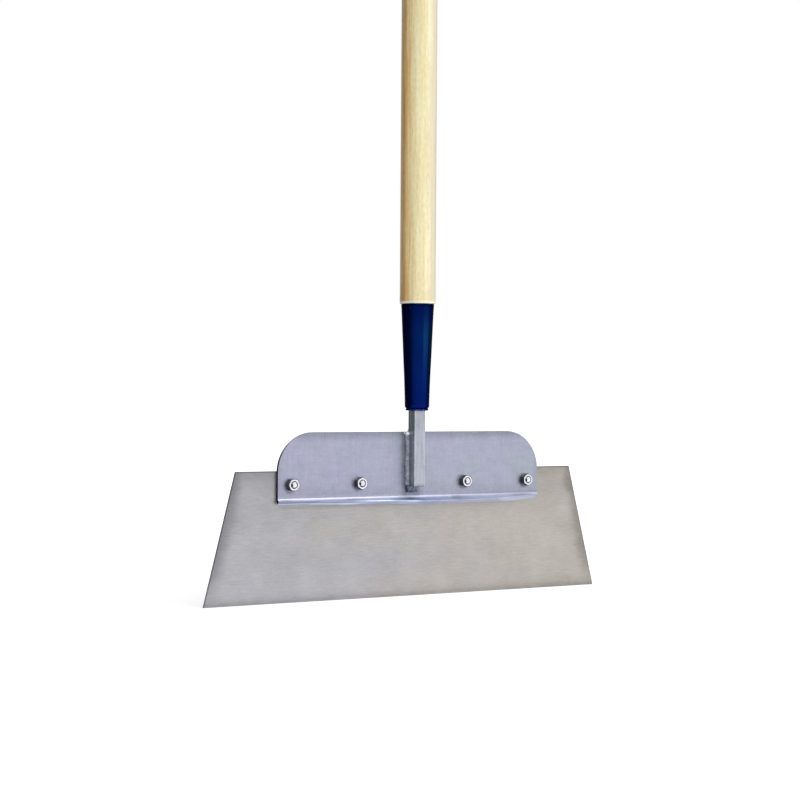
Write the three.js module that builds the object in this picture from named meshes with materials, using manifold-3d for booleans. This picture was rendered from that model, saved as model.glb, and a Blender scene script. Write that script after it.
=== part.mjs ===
// Long-handled floor scraper: a wide flat blade bolted behind a bent bracket plate,
// a square steel shank welded to the plate, and a round wooden handle on the shank's tang.
// Millimetres. +Z runs up the handle, +X along the blade, and the nuts face -Y.
// The origin is the middle of the scraping edge, at half the blade's thickness.

import * as THREE from 'three';
import { mergeVertices } from 'three/addons/utils/BufferGeometryUtils.js';
import Module from 'manifold-3d';

const wasm = await Module();
wasm.setup();

// ---- driving dimensions ----------------------------------------------------
const GAP = 0.3;                    // clearance where one piece is cut to let another through

// blade
const BLADE_EDGE = 457.2;           // length of the scraping edge (18 in)
const BLADE_TOP = 392.0;            // length of the upper edge
const BLADE_H = 127.0;              // 5 in
const BLADE_T = 1.6;                // 1/16 in

// bracket plate
const PLATE_W = 304.8;              // 12 in
const PLATE_T = 3.2;                // 1/8 in
const PLATE_TOP = 164.3;            // height of the plate's upper edge
const PLATE_R = 39.0;               // radius of the two upper corners
const LIP_START = 100.9;            // height where the flat plate ends and the bend begins
const LIP_BEND = 62.0;              // degrees the lower edge is turned forward
const LIP_R = 3.4;                  // inside radius of the bend
const LIP_LEN = 6.2;                // straight part of the lip
// the lip narrows towards its ends: distance in from the plate's end, and how far its edge is
// set back there as seen from above
const LIP_BACK_LEFT = [[0, 7.0], [26, 6.9], [50, 5.6], [73, 4.5], [120, 3.4], [150, 1.6], [162, 0]];
const LIP_BACK_RIGHT = [[0, 7.0], [8, 5.3], [18, 4.0], [32, 2.8], [45, 1.8], [55, 0]];

// fasteners: 1/4-20 hex bolts, 7/16 in long, with plain hex nuts
const BOLT_X = [-137.4, -61.8, 61.8, 137.4];
const BOLT_NAMES = ['far_left', 'mid_left', 'mid_right', 'far_right'];
const BOLT_Z = 113.8;
const BOLT_R = 3.175;
const BOLT_LEN = 11.1;              // under the head to the end
const BOLT_END_CHAMFER = 0.7;
const BOLT_HOLE_R = 3.57;           // 9/32 in clearance hole
const HEX_AF = 11.11;               // 7/16 in across flats
const HEAD_H = 4.0;
const NUT_H = 5.56;                 // 7/32 in
const NUT_BORE_R = 3.25;
const NUT_SINK_R = 3.85;            // countersink at both faces of the nut
const NUT_LIFT = 0.02;              // running clearance under the nut
const NUT_CLOCK = [0, 30, 14, 26];  // degrees each nut has come to rest at
const HEAD_CLOCK = [8, 22, 3, 17];

// shank
const BAR = 12.7;                   // 1/2 in square bar
const BAR_EDGE_R = 0.7;
const BAR_BOTTOM = 110.0;
const BAR_TOP = 191.0;              // the forged tang starts here
const TANG_TOP = 278.0;
const TANG_TIP = 5.0;               // width of the tang's blunt end

// weld beads
const BEAD_PLATE = 3.2;             // leg along the plate, beside the bar
const BEAD_BAR = 2.8;               // leg up the side of the bar
const TOE_PLATE = 6.4;              // leg down the plate, below the bar
const TOE_BAR = 4.8;                // leg out along the bar's lower end
const TOE_LEFT = 8.6;               // the lower bead runs this far to the left
const TOE_RIGHT = 3.8;              // and this far to the right
const TOP_PLATE = 2.7;              // leg along the plate's upper edge
const TOP_BAR = 3.2;                // leg up the bar's back face

// ferrule: outer radius against height
const FERRULE = [
  [185.3, 10.6], [185.6, 11.3], [186.3, 11.85], [187.6, 12.15],
  [195, 12.25], [205, 12.55], [218, 13.05], [234, 13.78], [250, 14.5], [266, 15.22],
  [281, 15.85], [287, 16.2], [290.4, 16.42], [291.0, 16.34], [291.3, 16.12],
];
const FERRULE_WALL = 1.4;
const FERRULE_MOUTH_R = 9.3;        // opening the bar passes through
const FERRULE_MOUTH_T = 2.2;

// ferrule pin: a small round-head nail
const PIN_Z = 286.7;
const PIN_AZ = -60.0;               // degrees from straight ahead, towards the left
const PIN_R = 1.0;
const PIN_HEAD_R = 1.7;
const PIN_HEAD_H = 0.75;
const PIN_LEN = 9.0;

// wooden handle
const WOOD_R = 17.9;
const WOOD_FIT = 0.2;               // clearance to the inside of the ferrule
const WOOD_BOTTOM = 188.4;
const WOOD_LEN = 1219.2;            // 48 in, with the end hidden in the ferrule
const WOOD_SHOULDER = 291.6;
const WOOD_SHOULDER_R = 1.0;
const WOOD_END_R = 6.0;

// ---- where the layers lie, front to back ------------------------------------
const Y_BLADE_F = -BLADE_T / 2;
const Y_BLADE_B = BLADE_T / 2;
const Y_PLATE_F = Y_BLADE_F - PLATE_T;
const Y_BAR_F = Y_PLATE_F - BAR;
const Y_AXIS = Y_PLATE_F - BAR / 2;  // axis of the bar, ferrule and handle
const WOOD_TOP = WOOD_BOTTOM + WOOD_LEN;

const rad = (d) => (d * Math.PI) / 180;

// ---- boolean helpers ---------------------------------------------------------
function toManifold(geometry) {
  const g = geometry.clone();
  g.deleteAttribute('normal');
  g.deleteAttribute('uv');
  const m = mergeVertices(g, 1e-4);
  return new wasm.Manifold(new wasm.Mesh({
    numProp: 3,
    vertProperties: new Float32Array(m.attributes.position.array),
    triVerts: new Uint32Array(m.index.array),
  }));
}

function toGeometry(manifold) {
  const mesh = manifold.getMesh();
  const pos = new Float32Array(mesh.numVert * 3);
  for (let i = 0; i < mesh.numVert; i += 1) {
    for (let k = 0; k < 3; k += 1) pos[i * 3 + k] = mesh.vertProperties[i * mesh.numProp + k];
  }
  const g = new THREE.BufferGeometry();
  g.setAttribute('position', new THREE.BufferAttribute(pos, 3));
  g.setIndex(new THREE.BufferAttribute(new Uint32Array(mesh.triVerts), 1));
  g.computeVertexNormals();
  return g;
}

// a shape drawn in X and Z, given thickness from y0 to y1
function frontSlab(shape, y0, y1, segments = 12) {
  const g = new THREE.ExtrudeGeometry(shape, {
    depth: y1 - y0, bevelEnabled: false, curveSegments: segments,
  });
  g.rotateX(Math.PI / 2);            // drawn Y becomes Z, depth runs to -Y
  g.translate(0, y1, 0);
  return g;
}

// a section drawn in Y and Z, run along X from x0 to x1
function alongX(shape, x0, x1, segments = 8) {
  const g = new THREE.ExtrudeGeometry(shape, {
    depth: x1 - x0, bevelEnabled: false, curveSegments: segments,
  });
  const m = new THREE.Matrix4().makeBasis(
    new THREE.Vector3(0, 1, 0), new THREE.Vector3(0, 0, 1), new THREE.Vector3(1, 0, 0),
  );
  g.applyMatrix4(m);
  g.translate(x0, 0, 0);
  return g;
}

// a section drawn in X and Y, run up Z from z0 to z1
function upZ(shape, z0, z1, segments = 8) {
  const g = new THREE.ExtrudeGeometry(shape, {
    depth: z1 - z0, bevelEnabled: false, curveSegments: segments,
  });
  g.translate(0, 0, z0);
  return g;
}

// a round rod along Y, from y0 to y1
function rodY(r, y0, y1, x, z, sides = 24) {
  const g = new THREE.CylinderGeometry(r, r, y1 - y0, sides);
  g.translate(x, (y0 + y1) / 2, z);
  return g;
}

// a turned shape about +Z from [height, radius] pairs
function turned(profile, sides) {
  const g = new THREE.LatheGeometry(profile.map(([z, r]) => new THREE.Vector2(r, z)), sides);
  g.rotateX(Math.PI / 2);
  return g;
}

function polygon(points) {
  const s = new THREE.Shape();
  points.forEach(([a, b], i) => (i ? s.lineTo(a, b) : s.moveTo(a, b)));
  s.closePath();
  return s;
}

function roundedSquare(half, r) {
  const s = new THREE.Shape();
  s.moveTo(-half + r, -half);
  s.lineTo(half - r, -half);
  s.absarc(half - r, -half + r, r, -Math.PI / 2, 0, false);
  s.lineTo(half, half - r);
  s.absarc(half - r, half - r, r, 0, Math.PI / 2, false);
  s.lineTo(-half + r, half);
  s.absarc(-half + r, half - r, r, Math.PI / 2, Math.PI, false);
  s.lineTo(-half, -half + r);
  s.absarc(-half + r, -half + r, r, Math.PI, 1.5 * Math.PI, false);
  return s;
}

// ---- materials ----------------------------------------------------------------
const mat = (color, roughness, metalness) => new THREE.MeshStandardMaterial({ color, roughness, metalness });
const steelBlade = mat(0xb4b1b0, 0.45, 0.9);
const steelPlate = mat(0xadb0c3, 0.42, 0.85);
const steelBar = mat(0xb9bcca, 0.45, 0.85);
const steelWeld = mat(0x7b7f88, 0.6, 0.8);
const zinc = mat(0xe2e4ea, 0.22, 1.0);
const bluePaint = mat(0x041e57, 0.18, 0.1);
const wood = mat(0xe6d6a6, 0.5, 0.0);

const group = new THREE.Group();
function add(name, geometry, material) {
  const mesh = new THREE.Mesh(geometry, material);
  mesh.name = name;
  group.add(mesh);
  return mesh;
}

// ---- blade: a flat trapezoid with four clearance holes -------------------------
{
  const outline = polygon([
    [-BLADE_EDGE / 2, 0], [BLADE_EDGE / 2, 0], [BLADE_TOP / 2, BLADE_H], [-BLADE_TOP / 2, BLADE_H],
  ]);
  let body = toManifold(frontSlab(outline, Y_BLADE_F, Y_BLADE_B));
  for (const x of BOLT_X) {
    body = body.subtract(toManifold(rodY(BOLT_HOLE_R, Y_BLADE_F - 1, Y_BLADE_B + 1, x, BOLT_Z)));
  }
  add('blade', toGeometry(body), steelBlade);
}

// ---- bracket plate: rounded upper corners, lower edge bent forward into a lip ---
{
  const b = rad(LIP_BEND);
  const cy = Y_PLATE_F - LIP_R;      // centre of the bend
  const cz = LIP_START;
  const ro = LIP_R + PLATE_T;
  const dy = -Math.sin(b);           // direction the lip runs in
  const dz = -Math.cos(b);
  const steps = 9;
  const pts = [[Y_BLADE_F, PLATE_TOP + 5], [Y_PLATE_F, PLATE_TOP + 5], [Y_PLATE_F, cz]];
  for (let i = 1; i <= steps; i += 1) {
    const t = (b * i) / steps;
    pts.push([cy + LIP_R * Math.cos(t), cz - LIP_R * Math.sin(t)]);
  }
  const inner = pts[pts.length - 1];
  pts.push([inner[0] + dy * LIP_LEN, inner[1] + dz * LIP_LEN]);
  const outerEnd = [cy + ro * Math.cos(b), cz - ro * Math.sin(b)];
  pts.push([outerEnd[0] + dy * LIP_LEN, outerEnd[1] + dz * LIP_LEN]);
  for (let i = steps; i >= 0; i -= 1) {
    const t = (b * i) / steps;
    pts.push([cy + ro * Math.cos(t), cz - ro * Math.sin(t)]);
  }
  const half = PLATE_W / 2;
  let body = toManifold(alongX(polygon(pts), -half - 5, half + 5));

  // the outline seen from the front
  const o = new THREE.Shape();
  o.moveTo(-half, 60);
  o.lineTo(half, 60);
  o.lineTo(half, PLATE_TOP - PLATE_R);
  o.absarc(half - PLATE_R, PLATE_TOP - PLATE_R, PLATE_R, 0, Math.PI / 2, false);
  o.lineTo(-half + PLATE_R, PLATE_TOP);
  o.absarc(-half + PLATE_R, PLATE_TOP - PLATE_R, PLATE_R, Math.PI / 2, Math.PI, false);
  body = body.intersect(toManifold(frontSlab(o, -40, 10, 20)));

  // the outline seen from above sets the lip's edge back towards its two ends
  const front = inner[0] + dy * LIP_LEN;
  const p = new THREE.Shape();
  p.moveTo(-half - 1, 5);
  p.lineTo(-half - 1, front + LIP_BACK_LEFT[0][1]);
  for (const [x, back] of LIP_BACK_LEFT) p.lineTo(-half + x, front + back);
  for (const [x, back] of [...LIP_BACK_RIGHT].reverse()) p.lineTo(half - x, front + back);
  p.lineTo(half + 1, front + LIP_BACK_RIGHT[0][1]);
  p.lineTo(half + 1, 5);
  body = body.intersect(toManifold(upZ(p, 60, PLATE_TOP + 20, 5)));

  for (const x of BOLT_X) {
    body = body.subtract(toManifold(rodY(BOLT_HOLE_R, Y_PLATE_F - 1, Y_BLADE_F + 1, x, BOLT_Z)));
  }
  add('bracket_plate', toGeometry(body), steelPlate);
}

// ---- shank bar: square bar on the plate's face, forged to a tang inside the handle ----
function tangGeometry(extra) {
  const w0 = BAR - 2.2 + extra;      // forged in slightly where the tang begins
  const w1 = TANG_TIP + extra;
  const h = TANG_TOP - BAR_TOP + extra;
  const g = new THREE.CylinderGeometry(w1 / Math.SQRT2, w0 / Math.SQRT2, h, 4);
  g.rotateY(Math.PI / 4);
  g.rotateX(Math.PI / 2);
  g.translate(0, Y_AXIS, BAR_TOP + h / 2);
  return g;
}
{
  const bar = upZ(roundedSquare(BAR / 2, BAR_EDGE_R), BAR_BOTTOM, BAR_TOP + 0.5, 3);
  bar.translate(0, Y_AXIS, 0);
  const body = toManifold(bar).add(toManifold(tangGeometry(0)));
  add('shank_bar', toGeometry(body), steelBar);
}

// ---- weld beads -----------------------------------------------------------------
// a convex fillet section: corner, leg a, bulged face, leg b
function filletPoints(corner, a, b, bulge, steps = 6) {
  const pts = [corner, a];
  const mx = (a[0] + b[0]) / 2;
  const my = (a[1] + b[1]) / 2;
  const ox = mx - corner[0];
  const oy = my - corner[1];
  for (let i = 1; i < steps; i += 1) {
    const t = i / steps;
    const k = 4 * t * (1 - t) * bulge;
    pts.push([a[0] + (b[0] - a[0]) * t + ox * k, a[1] + (b[1] - a[1]) * t + oy * k]);
  }
  pts.push(b);
  return pts;
}
{
  const h = BAR / 2;
  const left = filletPoints([-h, Y_PLATE_F], [-h - BEAD_PLATE, Y_PLATE_F], [-h, Y_PLATE_F - BEAD_BAR], 0.35);
  add('weld_left_side', upZ(polygon(left), BAR_BOTTOM + GAP, PLATE_TOP - 0.4), steelWeld);
  const right = left.map(([x, y]) => [-x, y]).reverse();
  add('weld_right_side', upZ(polygon(right), BAR_BOTTOM + GAP, PLATE_TOP - 0.4), steelWeld);

  const toe = filletPoints([Y_PLATE_F, BAR_BOTTOM], [Y_PLATE_F - TOE_BAR, BAR_BOTTOM],
    [Y_PLATE_F, BAR_BOTTOM - TOE_PLATE], 0.35);
  add('weld_bottom_end', alongX(polygon(toe), -TOE_LEFT, TOE_RIGHT), steelWeld);

  const top = filletPoints([Y_PLATE_F, PLATE_TOP], [Y_PLATE_F + TOP_PLATE, PLATE_TOP],
    [Y_PLATE_F, PLATE_TOP + TOP_BAR], 0.3);
  add('weld_top_edge', alongX(polygon(top), -h + BAR_EDGE_R, h - BAR_EDGE_R), steelWeld);
}

// ---- bolts and nuts ---------------------------------------------------------------
// hex prism along Y with its corners turned off by a cone at the face towards `side`
function hexBlock(h, chamferBoth) {
  const rc = HEX_AF / Math.sqrt(3);   // centre to corner
  const hex = new THREE.CylinderGeometry(rc, rc, h, 6);
  hex.rotateY(Math.PI / 6);
  const rf = HEX_AF / 2 - 0.35;       // radius of the flat turned on the face
  const drop = (rc + 0.2 - rf) * Math.tan(rad(30));
  const top = [[h / 2, 0], [h / 2, rf], [h / 2 - drop, rc + 0.2]];
  const bottom = chamferBoth
    ? [[-h / 2 + drop, rc + 0.2], [-h / 2, rf], [-h / 2, 0]]
    : [[-h / 2, rc + 0.2], [-h / 2, 0]];
  const profile = [...bottom.reverse(), ...top.reverse()].map(([y, r]) => new THREE.Vector2(r, y));
  const cone = new THREE.LatheGeometry(profile, 36);
  return toManifold(hex).intersect(toManifold(cone));
}

BOLT_X.forEach((x, i) => {
  const place = new THREE.Matrix4();

  // bolt: hex head behind the blade, shank forward through blade, plate and nut
  const end = Y_BLADE_B - BOLT_LEN;
  const shank = new THREE.LatheGeometry([
    [0, end], [BOLT_R - BOLT_END_CHAMFER, end], [BOLT_R, end + BOLT_END_CHAMFER],
    [BOLT_R, Y_BLADE_B + 1], [0, Y_BLADE_B + 1],
  ].map(([r, y]) => new THREE.Vector2(r, y)), 24);
  const head = toGeometry(hexBlock(HEAD_H, false));
  head.rotateY(rad(HEAD_CLOCK[i]));
  head.translate(0, Y_BLADE_B + HEAD_H / 2, 0);
  const bolt = toGeometry(toManifold(head).add(toManifold(shank)));
  place.makeTranslation(x, 0, BOLT_Z);
  bolt.applyMatrix4(place);
  add(`bolt_${BOLT_NAMES[i]}`, bolt, zinc);

  // nut: both faces chamfered, bore countersunk at both ends
  const h = NUT_H;
  const bore = new THREE.LatheGeometry([
    [0, -h / 2 - 1], [NUT_SINK_R + 1, -h / 2 - 1], [NUT_BORE_R, -h / 2 + NUT_SINK_R - NUT_BORE_R],
    [NUT_BORE_R, h / 2 - NUT_SINK_R + NUT_BORE_R], [NUT_SINK_R + 1, h / 2 + 1], [0, h / 2 + 1],
  ].map(([r, y]) => new THREE.Vector2(r, y)), 24);
  const nut = toGeometry(hexBlock(h, true).subtract(toManifold(bore)));
  nut.rotateY(rad(NUT_CLOCK[i]));
  nut.translate(x, Y_PLATE_F - NUT_LIFT - h / 2, BOLT_Z);
  add(`nut_${BOLT_NAMES[i]}`, nut, zinc);
});

// ---- ferrule, pin and handle --------------------------------------------------------
const ferruleR = (z) => {
  for (let i = 1; i < FERRULE.length; i += 1) {
    const [z0, r0] = FERRULE[i - 1];
    const [z1, r1] = FERRULE[i];
    if (z <= z1) return r0 + ((r1 - r0) * (z - z0)) / (z1 - z0);
  }
  return FERRULE[FERRULE.length - 1][1];
};
const innerR = (z) => Math.min(ferruleR(z), 16.35) - FERRULE_WALL;

// a rod pointing outwards from the handle's axis at the pin's height and direction
function radial(geometry) {
  // the geometry's +Y becomes the outward direction
  const a = rad(PIN_AZ);
  const out = new THREE.Vector3(Math.sin(a), -Math.cos(a), 0);
  const up = new THREE.Vector3(0, 0, 1);
  const side = new THREE.Vector3().crossVectors(out, up);
  geometry.applyMatrix4(new THREE.Matrix4().makeBasis(side, out, up));
  geometry.translate(0, Y_AXIS, PIN_Z);
  return geometry;
}
function pinHole() {
  const g = new THREE.CylinderGeometry(PIN_R + GAP, PIN_R + GAP, 14, 24);
  g.translate(0, 12.5, 0);
  return toManifold(radial(g));
}
{
  const zTop = FERRULE[FERRULE.length - 1][0];
  const zMouth = FERRULE[0][0] + FERRULE_MOUTH_T;
  const inner = [[zTop, innerR(zTop)]];
  for (const z of [281, 250, 218]) inner.push([z, innerR(z)]);
  inner.push([zMouth, innerR(zMouth + 1)], [zMouth, FERRULE_MOUTH_R], [FERRULE[0][0], FERRULE_MOUTH_R]);
  const loop = [...FERRULE, ...inner, FERRULE[0]];
  const g = turned(loop, 48);
  g.translate(0, Y_AXIS, 0);
  const body = toManifold(g).subtract(pinHole());
  add('ferrule', toGeometry(body), bluePaint);
}
{
  const seat = ferruleR(PIN_Z) + 0.32;   // underside of the head clears the curved wall
  const profile = [[0, seat - PIN_LEN], [0.35, seat - PIN_LEN + 0.2], [PIN_R, seat - PIN_LEN + 2.2], [PIN_R, seat], [PIN_HEAD_R, seat]];
  const steps = 5;
  for (let i = 1; i <= steps; i += 1) {
    const t = (i / steps) * (Math.PI / 2);
    profile.push([i === steps ? 0 : PIN_HEAD_R * Math.cos(t), seat + PIN_HEAD_H * Math.sin(t)]);
  }
  const g = new THREE.LatheGeometry(profile.map(([r, y]) => new THREE.Vector2(r, y)), 24);
  add('ferrule_pin', radial(g), zinc);
}
{
  const profile = [[WOOD_BOTTOM, 0], [WOOD_BOTTOM, innerR(WOOD_BOTTOM + 1) - WOOD_FIT - 0.4],
    [WOOD_BOTTOM + 1, innerR(WOOD_BOTTOM + 1) - WOOD_FIT]];
  for (const z of [218, 250, 281]) profile.push([z, innerR(z) - WOOD_FIT]);
  const zTop = FERRULE[FERRULE.length - 1][0];
  profile.push([zTop, innerR(zTop) - WOOD_FIT], [WOOD_SHOULDER, innerR(zTop) - WOOD_FIT]);
  const arc = (cz, cr, r, from, to, n) => {
    for (let i = 0; i <= n; i += 1) {
      const t = from + ((to - from) * i) / n;
      profile.push([cz + r * Math.sin(t), Math.max(0, cr + r * Math.cos(t))]);
    }
  };
  arc(WOOD_SHOULDER + WOOD_SHOULDER_R, WOOD_R - WOOD_SHOULDER_R, WOOD_SHOULDER_R, -Math.PI / 2, 0, 4);
  arc(WOOD_TOP - WOOD_END_R, WOOD_R - WOOD_END_R, WOOD_END_R, 0, Math.PI / 2, 7);
  profile.push([WOOD_TOP, 0]);
  const g = turned(profile, 48);
  g.translate(0, Y_AXIS, 0);

  // the hole for the tang, open at the bottom, and the drilled hole for the pin
  const entry = upZ(roundedSquare(BAR / 2 + GAP, BAR_EDGE_R), WOOD_BOTTOM - 2, BAR_TOP + 0.8, 3);
  entry.translate(0, Y_AXIS, 0);
  const body = toManifold(g)
    .subtract(toManifold(entry).add(toManifold(tangGeometry(2 * GAP))))
    .subtract(pinHole());
  add('wood_handle', toGeometry(body), wood);
}

export default group;
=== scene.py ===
import math

import bmesh
import bpy
import numpy as np
from mathutils import Matrix, Vector, noise


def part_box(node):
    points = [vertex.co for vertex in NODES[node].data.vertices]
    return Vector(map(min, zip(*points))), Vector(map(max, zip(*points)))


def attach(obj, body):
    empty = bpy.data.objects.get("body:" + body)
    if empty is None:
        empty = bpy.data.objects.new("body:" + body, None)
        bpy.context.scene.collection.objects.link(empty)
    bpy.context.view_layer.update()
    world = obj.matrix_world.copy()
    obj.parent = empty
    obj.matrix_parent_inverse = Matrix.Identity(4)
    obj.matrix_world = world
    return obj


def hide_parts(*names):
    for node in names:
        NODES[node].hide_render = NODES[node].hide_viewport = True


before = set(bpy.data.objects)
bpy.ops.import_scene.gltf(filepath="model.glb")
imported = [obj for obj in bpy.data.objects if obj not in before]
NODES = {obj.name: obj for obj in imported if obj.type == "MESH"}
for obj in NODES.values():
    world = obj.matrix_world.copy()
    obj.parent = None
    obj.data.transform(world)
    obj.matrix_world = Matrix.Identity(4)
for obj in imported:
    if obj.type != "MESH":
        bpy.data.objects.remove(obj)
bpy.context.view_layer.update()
ROOT = "scraper"
MM = 0.001


def corners(node):
    co = np.zeros(len(NODES[node].data.vertices) * 3)
    NODES[node].data.vertices.foreach_get("co", co)
    return co.reshape(-1, 3)


# ---------------------------------------------------------------- sizes, from the CAD nodes
BLADE_LO, BLADE_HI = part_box("blade")
PLATE_LO, PLATE_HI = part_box("bracket_plate")
BAR_LO, BAR_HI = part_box("shank_bar")
FER_LO, FER_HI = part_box("ferrule")
WOOD_LO, WOOD_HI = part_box("wood_handle")

blade_co = corners("blade")
BLADE_HALF = BLADE_HI.x
BLADE_TOP_HALF = blade_co[blade_co[:, 2] > BLADE_HI.z - 1e-5][:, 0].max()
BLADE_T = BLADE_HI.y - BLADE_LO.y
BLADE_H = BLADE_HI.z - BLADE_LO.z

plate_co = corners("bracket_plate")
PLATE_HALF = PLATE_HI.x
PLATE_BACK = BLADE_LO.y
PLATE_FRONT = plate_co[plate_co[:, 2] > PLATE_HI.z - 1e-5][:, 1].min()
PLATE_T = PLATE_BACK - PLATE_FRONT
PLATE_R = PLATE_HALF - plate_co[plate_co[:, 2] > PLATE_HI.z - 1e-5][:, 0].max()
LIP_START = plate_co[(np.abs(plate_co[:, 1] - PLATE_FRONT) < 1e-5) & (plate_co[:, 2] < 0.108)][:, 2].min()
LIP_TIP_Y = PLATE_LO.y
LIP_LOW_Z = PLATE_LO.z
LIP_BEND = math.radians(62.0)
LIP_R = 3.4 * MM
LIP_LEN = 6.2 * MM
# distance in from the plate's end, and how far the lip's edge is set back there
LIP_BACK_LEFT = [(0, 7.0), (26, 6.9), (50, 5.6), (73, 4.5), (120, 3.4), (150, 1.6), (162, 0)]
LIP_BACK_RIGHT = [(0, 7.0), (8, 5.3), (18, 4.0), (32, 2.8), (45, 1.8), (55, 0)]

BAR = BAR_HI.x - BAR_LO.x
TOE_LO, TOE_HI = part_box("weld_bottom_end")
AXIS_Y = (BAR_LO.y + BAR_HI.y) / 2
BAR_FRONT = BAR_LO.y

BOLTS = ["far_left", "mid_left", "mid_right", "far_right"]


def bolt_place(name):
    lo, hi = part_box(f"nut_{name}")
    return (lo.x + hi.x) / 2, (lo.z + hi.z) / 2


def hex_clock(node, y_lo, y_hi, x, z):
    """The angle of one corner of a hex piece about its own axis, read off the CAD node."""
    co = corners(node)
    co = co[(co[:, 1] > y_lo) & (co[:, 1] < y_hi)]
    d = np.hypot(co[:, 0] - x, co[:, 2] - z)
    i = int(d.argmax())
    return math.atan2(co[i, 2] - z, co[i, 0] - x)


# ---------------------------------------------------------------- mesh helpers
def finish_mesh(me, sharp=35.0):
    bm = bmesh.new()
    bm.from_mesh(me)
    bmesh.ops.recalc_face_normals(bm, faces=bm.faces)
    bm.to_mesh(me)
    bm.free()
    me.shade_smooth()
    if sharp is not None:
        me.set_sharp_from_angle(angle=math.radians(sharp))
    me.update()


def new_piece(name, verts, faces, mat, body=ROOT, nodes=(), sharp=35.0):
    me = bpy.data.meshes.new(name)
    me.from_pydata([tuple(map(float, v)) for v in verts], [], [tuple(int(i) for i in f) for f in faces])
    me.validate()
    finish_mesh(me, sharp)
    me.materials.append(mat)
    o = bpy.data.objects.new(name, me)
    bpy.context.scene.collection.objects.link(o)
    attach(o, body)
    if nodes:
        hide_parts(*nodes)
    return o


def skin(rings, loop=False):
    """Quads between rings of points that each go once round. A ring of one point closes the shape there."""
    verts, index = [], []
    for r in rings:
        index.append(range(len(verts), len(verts) + len(r)))
        verts.extend(r)
    faces = []
    pairs = list(zip(index, index[1:]))
    if loop:
        pairs.append((index[-1], index[0]))
    for a, b in pairs:
        if len(a) == 1 and len(b) == 1:
            continue
        n = max(len(a), len(b))
        for i in range(n):
            j = (i + 1) % n
            if len(a) == 1:
                faces.append((a[0], b[i], b[j]))
            elif len(b) == 1:
                faces.append((a[i], b[0], a[j]))
            else:
                faces.append((a[i], b[i], b[j], a[j]))
    return verts, faces


def apply_modifiers(o):
    dg = bpy.context.evaluated_depsgraph_get()
    me = bpy.data.meshes.new_from_object(o.evaluated_get(dg), preserve_all_data_layers=True, depsgraph=dg)
    old = o.data
    o.modifiers.clear()
    o.data = me
    bpy.data.meshes.remove(old)
    return o


def cut(o, cutters):
    for c in cutters:
        m = o.modifiers.new("cut", "BOOLEAN")
        m.operation, m.solver, m.object = "DIFFERENCE", "EXACT", c
    apply_modifiers(o)
    for c in cutters:
        bpy.data.objects.remove(c)


def cutter(verts, faces):
    me = bpy.data.meshes.new("cutter")
    me.from_pydata([tuple(map(float, v)) for v in verts], [], faces)
    bm = bmesh.new()
    bm.from_mesh(me)
    bmesh.ops.recalc_face_normals(bm, faces=bm.faces)
    bm.to_mesh(me)
    bm.free()
    o = bpy.data.objects.new("cutter", me)
    bpy.context.scene.collection.objects.link(o)
    o.hide_render = True
    return o


def rod_cutter(x, z, r, y0, y1, sides=48):
    t = np.linspace(0, 2 * math.pi, sides, endpoint=False)
    rings = [[(x, y0, z)]]
    for y in (y0, y1):
        rings.append([(x + r * math.cos(a), y, z + r * math.sin(a)) for a in t])
    rings.append([(x, y1, z)])
    return cutter(*skin(rings))


def round_edges(o, width, segments=3, angle=50.0):
    b = o.modifiers.new("edge", "BEVEL")
    b.width, b.segments, b.limit_method, b.angle_limit = width, segments, "ANGLE", math.radians(angle)
    b.harden_normals = False
    w = o.modifiers.new("weight", "WEIGHTED_NORMAL")
    w.weight, w.keep_sharp, w.mode = 100, False, "FACE_AREA"
    apply_modifiers(o)
    return o


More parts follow.
